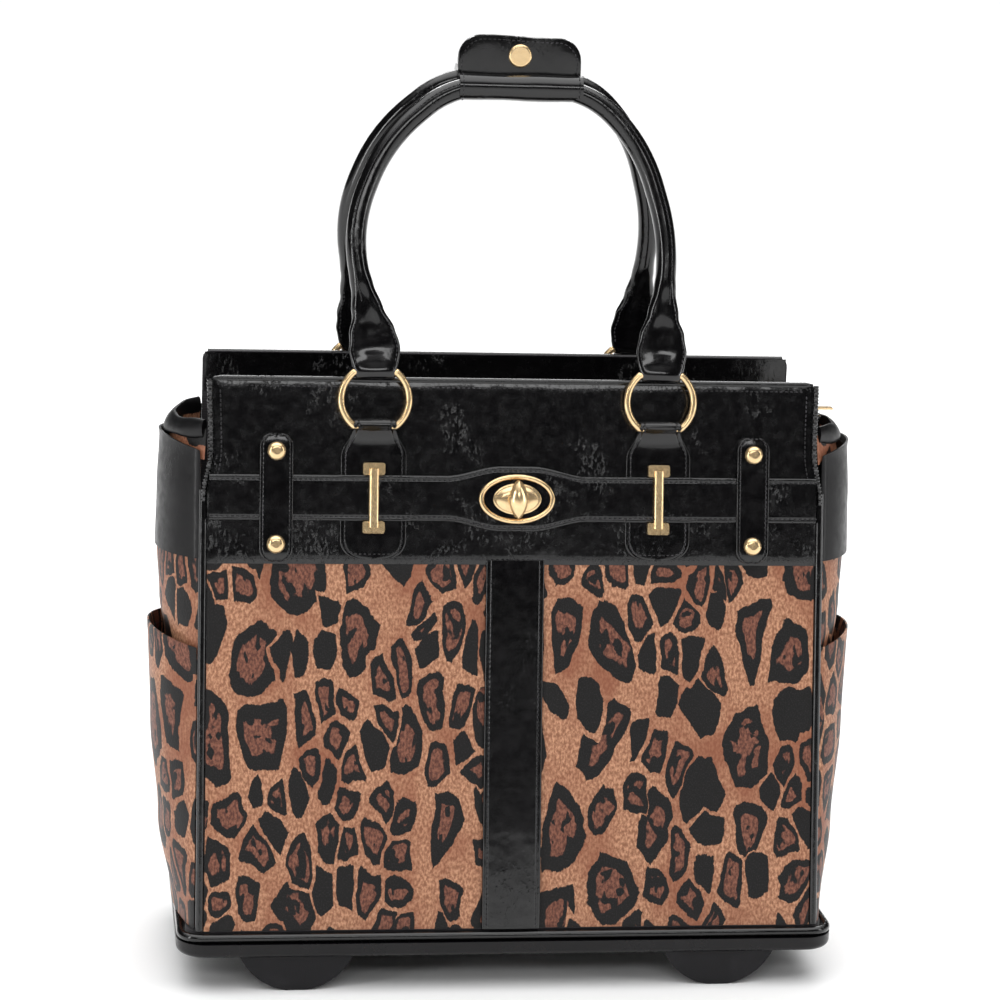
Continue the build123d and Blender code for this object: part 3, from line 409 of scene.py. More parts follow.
def animal_print():
    """Tan leathercloth printed with black rosettes of many sizes, brown inside, some of them solid."""
    s = Shader("print_leather")
    flat = s.place((1.0, 0.57, 1.0), uv=True)

    def warped(vector, scale, amount):
        wave = s.node("TexNoise", {"Vector": vector, "Scale": scale, "Detail": 2.0}).outputs["Color"]
        centred = s.node("VectorMath", {0: wave, 1: (0.5, 0.5, 0.5)}, operation="SUBTRACT").outputs[0]
        move = s.node("VectorMath", {0: centred, "Scale": amount}, operation="SCALE").outputs[0]
        return s.node("VectorMath", {0: vector, 1: move}, operation="ADD").outputs[0]

    bent = warped(warped(flat, 30, 0.015), 120, 0.0032)
    furry = warped(bent, 700, 0.0014)

    def cells(scale, vector, seed):
        place = s.node("Mapping", {"Vector": vector, "Location": (seed, seed * 0.7, 0.0)}).outputs[0]
        shared = {"Vector": place, "Scale": scale, "Randomness": 0.86}
        edge = s.node("TexVoronoi", shared, voronoi_dimensions="2D", feature="DISTANCE_TO_EDGE").outputs[0]
        inner = s.node("TexVoronoi", shared, voronoi_dimensions="2D", feature="F1")
        random = s.node("SeparateColor", {0: inner.outputs["Color"]}).outputs
        near = s.maths("DIVIDE", inner.outputs["Distance"], scale * MM)
        centre = s.node("Mapping", {"Vector": inner.outputs["Position"], "Location": (-seed, -seed * 0.7, 0.0)})
        return s.maths("DIVIDE", edge, scale * MM), near, random, centre.outputs[0]

    large, large_near, large_random, _ = cells(31.0, furry, 0.0)
    small, small_near, small_random, small_centre = cells(58.0, furry, 0.31)
    owner_random = cells(31.0, small_centre, 0.0)[2]
    split = s.maths("GREATER_THAN", owner_random[0], 0.55)
    broken = s.maths("GREATER_THAN", large_random[0], 0.55)

    def choose(a, b):
        return s.node("Mix", {0: split, 2: a, 3: b}).outputs[0]

    distance = choose(s.maths("SUBTRACT", large, s.maths("MULTIPLY", broken, 99.0)), small)
    near = choose(s.maths("MULTIPLY", large_near, 0.34), s.maths("MULTIPLY", small_near, 0.36))
    patch = s.noise(flat, 60, 2)
    depth = s.maths("SUBTRACT", s.maths("ADD", distance, s.maths("MULTIPLY", patch, 1.5)), near)
    sway = s.maths("MULTIPLY", s.maths("SUBTRACT", s.noise(bent, 75, 2), 0.5), 7.0)
    ring_width = s.maths("ADD", choose(6.2, 3.0), sway)
    spot = s.ramp(depth, -0.8, -0.3)
    inside = s.ramp(s.maths("SUBTRACT", depth, ring_width), 0.2, 0.9)
    solid = choose(s.maths("GREATER_THAN", large_random[1], 0.7), s.maths("GREATER_THAN", small_random[1], 0.72))
    dots = s.ramp(s.noise(furry, 150, 1), 0.56, 0.60)
    open_centre = s.maths("MULTIPLY", inside, s.maths("SUBTRACT", 1.0, s.maths("MAXIMUM", solid, dots)))

    grain = s.noise(flat, 1500, 2)
    fleck = s.ramp(s.noise(flat, 620, 3), 0.35, 0.7)
    flush = s.ramp(s.noise(flat, 24, 3), 0.42, 0.68)
    tan = s.mix(fleck, rgb(138, 92, 68), rgb(200, 150, 118))
    ground = s.mix(s.maths("MULTIPLY", flush, 0.8), tan, rgb(132, 78, 56))
    middle = s.mix(fleck, rgb(84, 49, 39), rgb(138, 90, 72))
    black = s.mix(s.ramp(grain, 0.45, 0.75), rgb(12, 11, 11), rgb(38, 36, 36))
    inner = s.mix(open_centre, black, middle)
    colour = s.mix(spot, ground, inner)
    pebbles = s.node("TexVoronoi", {"Vector": flat, "Scale": 900.0}, feature="F1").outputs[0]
    skin = s.bump(pebbles, 0.00016, 0.55, s.bump(s.noise(flat, 45, 2), 0.0012, 0.25))
    rough = s.ramp(grain, 0.3, 0.7, (0.40, 0.56))
    return s.finish(Base_Color=colour, Roughness=rough, Normal=skin, Specular_IOR_Level=0.3)


def metal(name, light, dark, rough=0.16, brushed=0.25):
    s = Shader(name)
    here = s.place()
    colour = s.mix(s.noise(here, 300, 3), light, dark)
    scratches = s.noise(s.place((1.0, 1.0, 0.06), turn=(0.3, 0.2, 0.0)), 2600, 2)
    gloss = s.ramp(s.noise(here, 420, 3), 0.3, 0.75, (rough, rough + 0.07))
    skin = s.bump(scratches, 0.00002, brushed)
    return s.finish(Base_Color=colour, Metallic=0.86, Roughness=gloss, Normal=skin)


def plastic(name, dark, light, rough=0.48, grain=1900, depth=0.00009):
    """Moulded plastic with a fine spark-eroded grain and rubbed patches."""
    s = Shader(name)
    here = s.place()
    rubbed = s.ramp(s.noise(here, 34, 4), 0.42, 0.74)
    colour = s.mix(s.maths("MULTIPLY", rubbed, 0.7), dark, light)
    pebble = s.node("TexVoronoi", {"Vector": here, "Scale": grain}, feature="F1").outputs[0]
    skin = s.bump(pebble, depth, 0.6)
    return s.finish(Base_Color=colour, Roughness=s.ramp(rubbed, 0, 1, (rough, rough - 0.1)), Normal=skin, Specular_IOR_Level=0.32)


def woven(name, dark, light, pitch=1100, rough=0.78, sheen=0.3):
    """Cloth with crossing yarns."""
    s = Shader(name)
    here = s.place()
    yarn = [
        s.node("TexWave", {"Vector": here, "Scale": pitch / 6.28, "Distortion": 0.6, "Detail": 1.0},
               bands_direction=axis).outputs[1]
        for axis in ("X", "Z")
    ]
    deep = s.node("TexWave", {"Vector": here, "Scale": pitch / 6.28, "Distortion": 0.6}, bands_direction="Y").outputs[1]
    weave = s.maths("MULTIPLY", s.maths("MAXIMUM", yarn[0], deep), yarn[1])
    slub = s.noise(s.place((1.0, 1.0, 0.1)), 300, 3)
    colour = s.mix(s.maths("MULTIPLY", s.maths("ADD", weave, slub), 0.5), dark, light)
    return s.finish(Base_Color=colour, Roughness=rough, Normal=s.bump(weave, 0.0002, 0.5), Sheen_Weight=sheen)


PATENT = patent_leather("patent_leather")
SMOOTH_PATENT = patent_leather("smooth_patent", creases=0.25, gloss=0.12, lumps=0.12)
SATIN = patent_leather("satin_side", creases=0.4, gloss=0.34, tone=1.6, coat=0.08, lumps=0.25)
PRINT = animal_print()
THREAD = plastic("waxed_thread", rgb(30, 29, 31), rgb(74, 72, 76), rough=0.3, grain=2600, depth=0.0001)
FINISHES = {
    "patent": PATENT,
    "print": PRINT,
    "gold": metal("pale_gold", rgb(246, 218, 172), rgb(232, 196, 144), rough=0.2, brushed=0.12),
    "board": woven("board_lining", rgb(26, 24, 27), rgb(54, 50, 55)),
    "moulding": plastic("moulded_black", rgb(24, 23, 25), rgb(46, 43, 48)),
    "lining": woven("lining_cloth", rgb(38, 34, 38), rgb(88, 78, 84), pitch=900),
    "tape": woven("zip_tape", rgb(12, 12, 13), rgb(36, 35, 38), pitch=2200, sheen=0.1),
    "steel": metal("bright_steel", rgb(205, 207, 210), rgb(160, 162, 166), rough=0.24),
    "tube": metal("anodised_tube", rgb(120, 122, 128), rgb(88, 90, 96), rough=0.32, brushed=0.5),
    "tyre": plastic("rubber_tyre", rgb(20, 20, 21), rgb(52, 50, 50), rough=0.66, grain=1300),
    "hub": plastic("wheel_hub", rgb(40, 40, 44), rgb(78, 78, 84), rough=0.42),
}
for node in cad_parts.values():
    for place in node.material_slots:
        finish = place.material.name.split(".")[0] if place.material else "moulding"
        place.material = FINISHES.get(finish, FINISHES["moulding"])
for name in ("front_feet", "base_tray", "turnlock_inlay"):
    special = {
        "front_feet": plastic("foot_rubber", rgb(16, 15, 18), rgb(28, 26, 30), rough=0.6, grain=1500),
        "base_tray": plastic("tray_gloss", rgb(8, 7, 9), rgb(20, 18, 21), rough=0.3, grain=1400),
        "turnlock_inlay": SMOOTH_PATENT,
    }[name]
    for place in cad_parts[name].material_slots:
        place.material = special


# ---- the front: panels, centre strip, yoke ----


def front_panels():
    panels = Parts()
    for side in (-1, 1):
        def face(u, v, side=side):
            x = side * (18.5 + (HALF - 18.5) * (u if side > 0 else 1 - u))
            up = 0.6 + (YOKE_UP + 1.5) * v
            p = on_face(x, up, 0)
            puff = 1.5 * math.sin(math.pi * u) ** 0.5 * math.sin(math.pi * v) ** 0.5 if 0 < u < 1 and 0 < v < 1 else 0
            out = 0.9 + puff + 0.3 * wobble(p, 70)
            return on_face(x, up, out)
        panels.add(*sheet(face, 36, 40, 1.0, start=(0.013 if side < 0 else 0.252, 0.0)))
    panels.make("front_panels_sewn", PRINT, "case", "print", stands_for=("front_panels",))


def upright(x, low, high, count):
    return [on_face(x, up, 0) for up in ends(count, low, high)]


def centre_strip():
    line = [on_face(0, 0.5 + (YOKE_UP + 1.5) * i / 60, 0.25 * math.sin(i / 7)) for i in range(61)]
    piece = Parts().add(*strap(line, FACE_OUT, lambda i: 19.5, lambda i: 0.4, lambda i: 3.0, crown=0.7, groove=3.0))
    piece.make("centre_strip_sewn", SMOOTH_PATENT, "case", "patent", stands_for=("centre_strip",))
    for x in (-16.5, 16.5):
        stitch("case", [on_face(x, up, 2.9) for up in (2, 120, YOKE_UP - 1)], FACE_OUT)


def wing_half(up):
    """Half width of the front wing: narrower above, flaring out to the corner piping."""
    return curve([(YOKE_UP, HALF + 0.6), (YOKE_UP + 42, HALF + 0.6), (YOKE_UP + 74, 199.6), (FACE_TOP, 200.6)], up)


def front_yoke():
    low, high = YOKE_UP - 0.8, FACE_TOP + 0.4

    def face(u, v):
        up = low + (high - low) * v
        x = (2 * u - 1) * wing_half(up)
        rim = max(abs(2 * u - 1) - 0.955, 0) / 0.045
        swell = 0.55 * math.sin(math.pi * v) * (1 - abs(2 * u - 1) ** 6)
        flare = 1.7 * ease((abs(x) - 180) / 22) * math.exp(-((up - YOKE_UP - 66) / 24) ** 2)
        p = on_face(x, up, 0)
        out = 1.95 + swell + flare - 0.7 * rim * rim + 0.22 * wobble(p, 26) + 0.3 * wobble(p, 70, 3.0)
        return on_face(x, up, out)

    Parts().add(*sheet(face, 110, 34, 1.8)).make("front_yoke_sewn", PATENT, "case", "patent", stands_for=("front_yoke",))
    for v in (0.962, 0.03):
        stitch("case", [face(u / 60, v) for u in range(1, 60)], FACE_OUT, lift=0.05)
    for side in (-1, 1):
        inner = [face(0.5 + side * 0.488, v / 30) for v in range(12, 29)]
        stitch("case", inner, FACE_OUT, pitch=3.0, radius=0.5, lift=0.2)
    top = [face(u / 80, 1.0) + Vector((0, 1.7, -0.4)) for u in range(81)]
    roll = Parts().add(*cord(top, 2.1, radius_at=lambda i: 2.1 * (0.4 if i in (0, 80) else 1)))
    roll.make("front_wing_fold", PATENT, "case", "patent")


def facings():
    """Leather facing on the inner sides of both boards, above the zip."""
    def rear(u, v):
        x = (1 - 2 * u) * (HALF - 1.2)
        z = 375.5 + (REAR_TOP - 0.6 - 375.5) * v
        return Vector((x, REAR_Y - 3.05 - 0.55 - 0.2 * wobble((x, 0, z), 30), z))

    def front(u, v):
        x = (2 * u - 1) * (HALF - 3.5)
        up = 341.0 + (FACE_TOP - 0.8 - 341.0) * v
        return on_face(-x, up, -3.5)

    pieces = Parts().add(*sheet(lambda u, v: rear(1 - u, v), 60, 8, -0.5)).add(*sheet(front, 40, 8, -0.4))
    pieces.make("board_facings", PATENT, "case", "patent")
    stitch("case", [rear(u / 40, 0.84) for u in range(41)], Vector((0, -1, 0)))


def piping():
    """Corner cords, wing edges, the bead round the base and the rear corners."""
    cords = Parts()
    for side in (-1, 1):
        low = [on_face(side * 206.25, up, -0.6 + 0.12 * wobble((side, up, 0), 30)) for up in range(1, int(YOKE_UP + 50), 5)]
        cords.add(*cord(low, 2.75))
        edge = []
        for k in range(94):
            up = YOKE_UP + 40 + (FACE_TOP - YOKE_UP - 40) * k / 93
            edge.append(on_face(side * (wing_half(up) + 1.9), up, 0.5 + 1.2 * math.exp(-((up - YOKE_UP - 66) / 24) ** 2)))
        cords.add(*cord(edge, 2.0, sides=16, radius_at=lambda i: 1.9 + 0.32 * math.sin(i * 2.4) + 0.3 * wobble((i, 0, side), 2.3)))
        rear = [Vector((side * 206.25, REAR_Y - 0.6, z)) for z in range(41, 367, 5)]
        cords.add(*cord(rear, 2.75))
    x, y, z, back = 218.0, -90.5, 36.8, 59.0
    route = [Vector((-x, back, z)), Vector((-x, y, z)), Vector((x, y, z)), Vector((x, back, z))]
    cords.add(*cord(fillet_line(route, [16, 16]), 3.0, sides=16))
    cords.make("piping_cords", SMOOTH_PATENT, "case", "patent", stands_for=("piping",))


def rear_yoke():
    low, high = COVER_TOP + 1.2, REAR_TOP

    def face(u, v):
        z = low + (high - low) * v
        x = (1 - 2 * u) * (HALF - corner((high - z), 5.5))
        swell = 0.4 * math.sin(math.pi * v)
        return Vector((x, REAR_Y + 2.0 + swell + 0.25 * wobble((x, 0, z), 24), z))

    Parts().add(*sheet(face, 90, 16, 1.9)).make("rear_yoke_sewn", PATENT, "case", "patent", stands_for=("rear_yoke",))
    stitch("case", [face(u / 50, 0.92) for u in range(1, 50)], Vector((0, 1, 0)))
    roll = [Vector((x, REAR_Y - 0.4, REAR_TOP - 1.2)) for x in range(-200, 201, 8)]
    Parts().add(*cord(roll, 2.2)).make("rear_wing_fold", PATENT, "case", "patent")


# ---- belt, loops and chapes ----


def belt_half(x):
    """The belt widens smoothly into an eye round the lock."""
    return BELT_HALF + (BELT_OVAL - BELT_HALF) * ease(1.28 - abs(x) / 37)


def belt():
    xs = [-202.6 + 405.2 * i / 220 for i in range(221)]
    line = [on_face(x, BELT_UP, 0) for x in xs]

    def under(i):
        return BELT_LOW + 2.2 * ease((25 - abs(abs(xs[i]) - RING_X)) / 3)

    belt_piece = Parts().add(*strap(
        line, FACE_OUT, lambda i: belt_half(xs[i]), under, lambda i: BELT_TOP - 0.25 + 0.15 * wobble(line[i], 22), crown=0.2,
        groove=2.8,
    ))
    belt_piece.make("belt_sewn", PATENT, "case", "patent", stands_for=("belt_strap",))
    for sign in (-1, 1):
        row = [on_face(x, BELT_UP + sign * (belt_half(x) - 2.8), BELT_TOP - 0.35) for x in xs]
        stitch("case", row, FACE_OUT)


def belt_loops():
    loops = Parts()
    for x in (-LOOP_X, LOOP_X):
        spots = ends(46, -42.0, 42.0)
        line = [on_face(x, BELT_UP + s, 0) for s in spots]

        def half(i):
            return max(11.0 - corner(42.0 - abs(spots[i]), 8.0), 1.2)

        def low(i):
            return BELT_LOW + (BELT_TOP - BELT_LOW) * ease((17.5 - abs(spots[i])) / 2.4)

        def high(i):
            return LOOP_TOP - 0.35 * ease((abs(spots[i]) - 36) / 5) + 0.12 * math.cos(spots[i] / 5)

        loops.add(*strap(line, FACE_OUT, half, low, high, crown=0.35, groove=2.2))
        outline = [(half(i) - 2.2, spots[i]) for i in range(3, 44)]
        loop = [(s, u) for s, u in outline] + [(-s, u) for s, u in outline[::-1]]
        row = [on_face(x + s, BELT_UP + u, LOOP_TOP - 0.15) for s, u in loop + loop[:1]]
        stitch("case", row, FACE_OUT, pitch=3.1, radius=0.42, lift=0.15)
    loops.make("belt_loops_sewn", SMOOTH_PATENT, "case", "patent", stands_for=("belt_loops",))


def chape_line(front):
    """The run of a chape: (along, out) from its foot up over the ring's lower pin, with the half width at each point."""
    if front:
        low, knee, pin, base = YOKE_UP + 3.0, BELT_UP + 22.0, RING_UP, BELT_LOW
        out_pin = RING_OUT
    else:
        low, knee, pin, base = COVER_TOP + 4.0, COVER_TOP + 8.0, REAR_PIN_Z, 2.4
        out_pin = REAR_PIN_Y - REAR_Y
    top = base + 2.0
    route = [(a, top) for a in ends(26, low, knee)]
    crest = out_pin + 3.9
    for k in range(1, 15):
        t = 1 - (1 - k / 14) ** 1.7
        route.append((knee + (pin - knee) * t, top + (crest - top) * t ** 6))
    for k in range(1, 9):
        angle = math.radians(90 - 20 * k)
        route.append((pin + 4.3 * math.cos(angle), out_pin + 4.3 * math.sin(angle)))
    return route


def chapes():
    piece = Parts()
    for front in (True, False):
        route = chape_line(front)
        foot = route[0][0]

        def half(along):
            if not front:
                return 13.0 - corner(along - foot, 4.0)
            wide = curve([(foot, 22.0), (BELT_UP + 28, 21.8), (BELT_UP + 45, 14.4), (RING_UP + 5, 13.6)], along)
            return max(wide - corner(along - foot, 12.0), 2.0)

        for x in (-RING_X, RING_X):
            if front:
                line = [on_face(x, a, o) for a, o in route]
                across = Vector((1, 0, 0))
            else:
                line = [Vector((x, REAR_Y + o, a)) for a, o in route]
                across = Vector((-1, 0, 0))
            normals = [across.cross(t).normalized() for t in tangents(line)]
            piece.add(*strap(
                line, normals, lambda i: half(route[i][0]), lambda i: -1.9, lambda i: 0.12 * wobble(line[i], 9),
                crown=0.5 if front else 0.3, groove=3.0,
            ))
            if not front:
                continue
            count = 33
            for sign in (-1, 1):
                row = [on_face(x + sign * (half(route[i][0]) - 3.0), route[i][0], route[i][1]) for i in range(4, count)]
                stitch("case", row, FACE_OUT, pitch=3.1, radius=0.45, lift=0.2)
            arc = [on_face(x + s, foot + 3.0 + corner(20.0 - abs(s), 10.0), BELT_LOW + 2.0) for s in range(-18, 19, 2)]
            stitch("case", arc, FACE_OUT, pitch=3.1, radius=0.45, lift=0.2)
    piece.make("ring_chapes_sewn", SMOOTH_PATENT, "case", "patent", stands_for=("ring_chapes",))


# ---- handles ----


class HandleSpace:
    """A handle's own leaning plane: origin on its ring pin, across, up the handle, and outwards."""

    def __init__(self, front):
        if front:
            up = RING_UP + RING_STEP
            self.origin = Vector((0, FACE_Y + up * SIN - RING_OUT * COS, BODY_Z + up * COS + RING_OUT * SIN))
        else:
            self.origin = Vector((0, REAR_PIN_Y, REAR_PIN_Z + RING_STEP))
        self.rise = 189.0 if front else 195.0
        reach = TUBE_R + TUBE_GAP / 2
        target = TOP_Y - reach if front else TOP_Y + reach
        angle = math.asin((target - self.origin.y) / self.rise)
        self.up = Vector((0, math.sin(angle), math.cos(angle)))
        self.across = Vector((1, 0, 0))
        self.out = Vector((0, -math.cos(angle), math.sin(angle)))
        if not front:
            self.out = -self.out
        self.top = self.origin + self.up * self.rise

    def point(self, x, y):
        return self.origin + self.across * x + self.up * y


def handle(front):
    space = HandleSpace(front)
    rise, bow = space.rise, RING_X + 11
    half = [(RING_X, -4.4, 0), (RING_X + 0.5, 16, 0), (RING_X + 2.5, 34, 0.25), (bow, 0.49 * rise, 1.0)]
    half += [(bow - 20, 0.8 * rise, 0.6), (RING_X - 49, rise, 0.0)]
    route = [Vector((x - SWAY * lean, y, 0)) for x, y, lean in half]
    route += [Vector((-x - SWAY * lean, y, 0)) for x, y, lean in half[::-1]]
    flat = fillet_line(route, [60, 60, 140, 110, 60, 60, 110, 140, 60, 60], step=2.4)
    width = [(-4.4, 12.6), (0, 13.8), (5, 15.6), (15, 17.0), (26, 15.2), (40, 10.6), (56, 7.6), (68, TUBE_R)]
    thick = [(-4.4, 1.2), (-2.5, 3.9), (0, 4.6), (3, 4.1), (8, 2.9), (16, 2.6), (27, 3.7), (42, 5.5), (60, TUBE_R)]
    dent = [(8, 0.0), (17, 0.42), (30, 0.55), (46, 0.3), (64, 0.0)]
    rings, seam, tab_edges = [], [], {-1: [], 1: []}
    ways = tangents(flat)
    for p, t in zip(flat, ways):
        lateral = Vector((t.y, -t.x, 0))
        if lateral.dot(Vector((p.x, p.y - 0.45 * rise, 0))) < 0:
            lateral = -lateral
        side = space.across * lateral.x + space.up * lateral.y
        at = p.y if p.y < 80 else 80
        a, b, d = curve(width, at), curve(thick, at), curve(dent, at)
        square = 0.72 + 0.28 * ease((at - 14) / 46)
        centre = space.point(p.x, p.y)
        ring = []
        for k in range(32):
            angle = 2 * math.pi * k / 32
            c, n = math.cos(angle), math.sin(angle)
            s = a * math.copysign(abs(c) ** square, c)
            h = b * math.copysign(abs(n) ** (0.5 + 0.5 * square), n)
            h *= 1 - d * math.exp(-(s / (0.42 * a)) ** 2)
            ring.append(centre + side * s + space.out * (h + 0.12 * wobble(centre + side * s, 16)))
        rings.append(ring)
        if p.y > 46:
            seam.append(centre + side * (TUBE_R * 0.42) + space.out * (TUBE_R * 0.9))
        elif p.y > 5 and abs(t.y) > 0.5:
            sign = 1 if p.x > 0 else -1
            for edge in (-1, 1):
                lift = b * (1 - 0.2 * abs(edge)) * 0.86
                tab_edges.setdefault((sign, edge), []).append(centre + side * edge * (a - 2.6) + space.out * lift)
    body = "front_handle" if front else "rear_handle"
    nodes = (body, f"{body}_tabs")
    leather = Parts().add(*loft(rings))
    obj = leather.make(f"{body}_padded", SMOOTH_PATENT, body, "patent", stands_for=nodes, angle=70)
    welt = Parts().add(*cord(seam, 0.5, sides=8))
    welt.make(f"{body}_seam", SMOOTH_PATENT, body, "patent")
    stitch(body, [p + space.out * 0.15 for p in seam], space.out, pitch=3.2, radius=0.34, lift=0.35)
    for key, line in tab_edges.items():
        if line:
            stitch(body, line, space.out, pitch=3.0, radius=0.42, lift=0.15)
            back = [p - space.out * (2 * (p - space.origin).dot(space.out)) for p in line]
            stitch(body, back, -space.out, pitch=3.0, radius=0.42, lift=0.15)
    return space


def grip_wrap(front, space):
    """One half of the grip wrap: closed round its tube, with a flap that rises to the snap."""
    out = -1 if front else 1
    y, z = space.top.y, space.top.z
    radius, top = TUBE_R + 2.0, 622.8
    inner_y, outer_y = TOP_Y + out * 0.15, TOP_Y + out * 2.1
    reach_in, reach_out = out * (inner_y - y), out * (outer_y - y)
    rings, edge = [], []
    for x in ends(34, -41.0, 41.0):
        height = top - corner(41.0 - abs(x), 15.0) - 0.7 * math.sin(x / 13)
        swell = radius + 0.35 * math.sin(x / 9) * math.exp(-(x / 40) ** 2)
        ring = []
        angle_out = math.acos(max(-1, min(1, reach_out / swell)))
        angle_in = math.acos(max(-1, min(1, reach_in / swell)))
        for t in (0.0, 0.12, 0.3, 0.5, 0.7, 0.85):
            bend = 0.5 * math.sin(math.pi * t) + 0.25 * wobble((x, 0, t * 30), 18)
            foot = z + swell * math.sin(angle_out) + 1.6
            ring.append(Vector((x, outer_y + out * bend, height + (foot - height) * t)))
        for k in range(19):
            a = angle_out - (angle_out + angle_in) * k / 18
            ring.append(Vector((x, y + out * swell * math.cos(a), z + swell * math.sin(a))))
        for t in (0.6, 0.3, 0.0):
            ring.append(Vector((x, inner_y, height - 0.3 + (z + 3 - height) * t)))
        ring.append(Vector((x, (inner_y + outer_y) / 2, height + 0.35)))
        rings.append(ring)
        edge.append(Vector((x * (1 - 2.4 / 41), outer_y + out * 0.2, height - 2.6)))
    body = "front_handle" if front else "rear_handle"
    piece = Parts().add(*loft(rings))
    piece.make(f"{body}_wrap_sewn", SMOOTH_PATENT, body, "patent", stands_for=(f"{body}_wrap",))
    way = Vector((0, out, 0))
    stitch(body, edge, way, pitch=3.2, lift=0.2)
    for x in (-38.6, 38.6):
        side = [Vector((x, outer_y + out * 0.25, height)) for height in (z + 8, z + 12, z + 16, z + 20)]
        stitch(body, side, way, pitch=3.2, lift=0.2)
        round_tube = []
        for k in range(15):
            a = math.radians(125 - 225 * k / 14)
            round_tube.append(Vector((x, y + out * radius * math.cos(a), z + radius * math.sin(a))))
        stitch(body, round_tube, lambda p: Vector((0, p.y - y, p.z - z)).normalized(), pitch=3.2, lift=0.1)


# ---- soft sides ----


def side_point(side, z, u, lift, bulge):
    """A point on a side wall: u runs from the front board (0) to the rear board (1) along an arc."""
    y0, y1 = face_y(z) + 3.75, REAR_Y - 3.75
    chord = y1 - y0
    half_angle = 2 * math.atan(2 * bulge / chord)
    radius = (chord * chord / 4 + bulge * bulge) / (2 * bulge)
    a = half_angle * (2 * u - 1)
    x = SIDE_X + lift + bulge - radius * (1 - math.cos(a))
    return Vector((side * x, (y0 + y1) / 2 + radius * math.sin(a), z))


def side_parts():
    gussets, bands, pockets, rims = Parts(), Parts(), Parts(), Parts()
    flats = {}
    for side in (-1, 1):
        def place(u, z, lift, bulge, side=side):
            return side_point(side, z, u if side < 0 else 1 - u, lift, bulge)

        def gusset(u, v):
            z = 41.5 + (284.0 - 41.5) * v
            bulge = 27 * curve([(0, 0.3), (0.25, 0.4), (0.5, 0.5), (0.72, 0.78), (0.85, 0.93), (1, 1)], v)
            fold = 0.7 * math.sin(math.pi * v) * math.sin(3 * math.pi * u) * ease(4 * u) * ease(4 - 4 * u)
            return place(u, z, -0.4 + fold, bulge)

        def pocket(u, v):
            mouth = 224.5 + 5.5 * math.sin(math.pi * u)
            z = 41.5 + (mouth - 41.5) * v
            bulge = 29.5 * curve([(0, 0.4), (0.3, 0.74), (0.65, 0.94), (1, 1)], v)
            slack = 0.8 * math.sin(math.pi * v) * math.sin(2 * math.pi * u + 0.8) * ease(5 * u) * ease(5 - 5 * u)
            hem = 0.35 * ease((v - 0.958) / 0.01)
            return place(u, z, 2.3 + slack + hem, bulge)

        def band(u, v):
            brim = 352.0 + 6.0 * math.sin(math.pi * u) ** 0.8
            z = 282.0 + (brim - 282.0) * v
            bulge = (28.6 if side > 0 else 26.6) * curve([(0, 1.0), (0.5, 0.97), (1, 0.9)], v)
            fold = 0.5 * math.sin(2.5 * math.pi * u + 2 * v) * ease(5 * u) * ease(5 - 5 * u)
            lip = 0.5 * ease((v - 0.94) / 0.05)
            return place(u, z, 1.0 + fold + lip, bulge)

        def strip(u, v):
            z = 346.0 + (366.0 - 346.0) * v - 2.5 * math.sin(math.pi * u) * v
            return place(u, z, -1.4 - 1.2 * v, 27 * (0.84 - 0.06 * v))

        gussets.add(*sheet(gusset, 40, 44, 1.6, start=(0.61 if side < 0 else 0.93, 0.03)))
        gussets.add(*sheet(strip, 30, 6, 1.2, start=(0.65 if side < 0 else 0.97, 0.33)))
        pockets.add(*sheet(pocket, 44, 40, 1.7, start=(1.25 if side < 0 else 1.57, 0.11)))
        bands.add(*sheet(band, 44, 20, 2.2))
        flats = {"gusset": flat_size(gusset), "pocket": flat_size(pocket), "band": flat_size(band)}
        rim_rings = []
        for k in range(45):
            u = 0.005 + 0.99 * k / 44
            sag = 5.5 * math.sin(math.pi * u)
            centre = place(u, 366.0 - sag * 0.5, -1.2, 21.5)
            ahead = (place(min(u + 0.01, 1), 366.0, -1.2, 21.5) - place(max(u - 0.01, 0), 366.0, -1.2, 21.5)).normalized()
            outward = Vector((ahead.y, -ahead.x, 0))
            if outward.x * side < 0:
                outward = -outward
            tall, wide = 6.2 + 0.6 * math.sin(u * 17), 2.6 + 0.3 * math.sin(u * 11 + 1)
            lean = 0.5 * math.sin(math.pi * u)
            ring = []
            for j in range(14):
                a = 2 * math.pi * j / 14
                h = tall * math.sin(a)
                ring.append(centre + outward * (wide * math.cos(a) - lean * h) + Vector((0, 0, h)))
            rim_rings.append(ring)
        rims.add(*loft(rim_rings))
        outward = Vector((side, 0, 0))
        stitch("case", [band(u / 40, 0.945) for u in range(1, 40)], outward, lift=0.1)
        stitch("case", [band(u / 40, 0.05) for u in range(1, 40)], outward, lift=0.1)
        stitch("case", [pocket(u / 40, 0.952) for u in range(1, 40)], outward, lift=0.1)
        for u in (0.03, 0.97):
            stitch("case", [band(u, v / 20) for v in range(1, 20)], outward, lift=0.1, radius=0.42)
    made = {
        "gusset": gussets.make("side_gussets_sewn", PRINT, "case", "print", stands_for=("side_gussets",)),
        "band": bands.make("side_bands_sewn", SATIN, "case", "patent", stands_for=("side_bands",)),
        "pocket": pockets.make("side_pockets_sewn", PRINT, "case", "print", stands_for=("side_pockets",)),
    }
    rims.make("side_rims", SATIN, "case", "patent")
    return made, flats


# ---- top closure ----


def teeth(x0, x1, y, z, way, pitch=1.7):
    """A row of coil teeth along X; way is +1 or -1, the side they point to."""
    row = Parts()
    count = int((x1 - x0) / pitch)
    for i in range(count):
        x = x0 + pitch * (i + 0.5)
        line = [Vector((x, y - way * 1.2, z)), Vector((x, y, z + 0.7)), Vector((x, y + way * 1.0, z))]
        row.add(*cord(line, 0.55, sides=5))
    return row


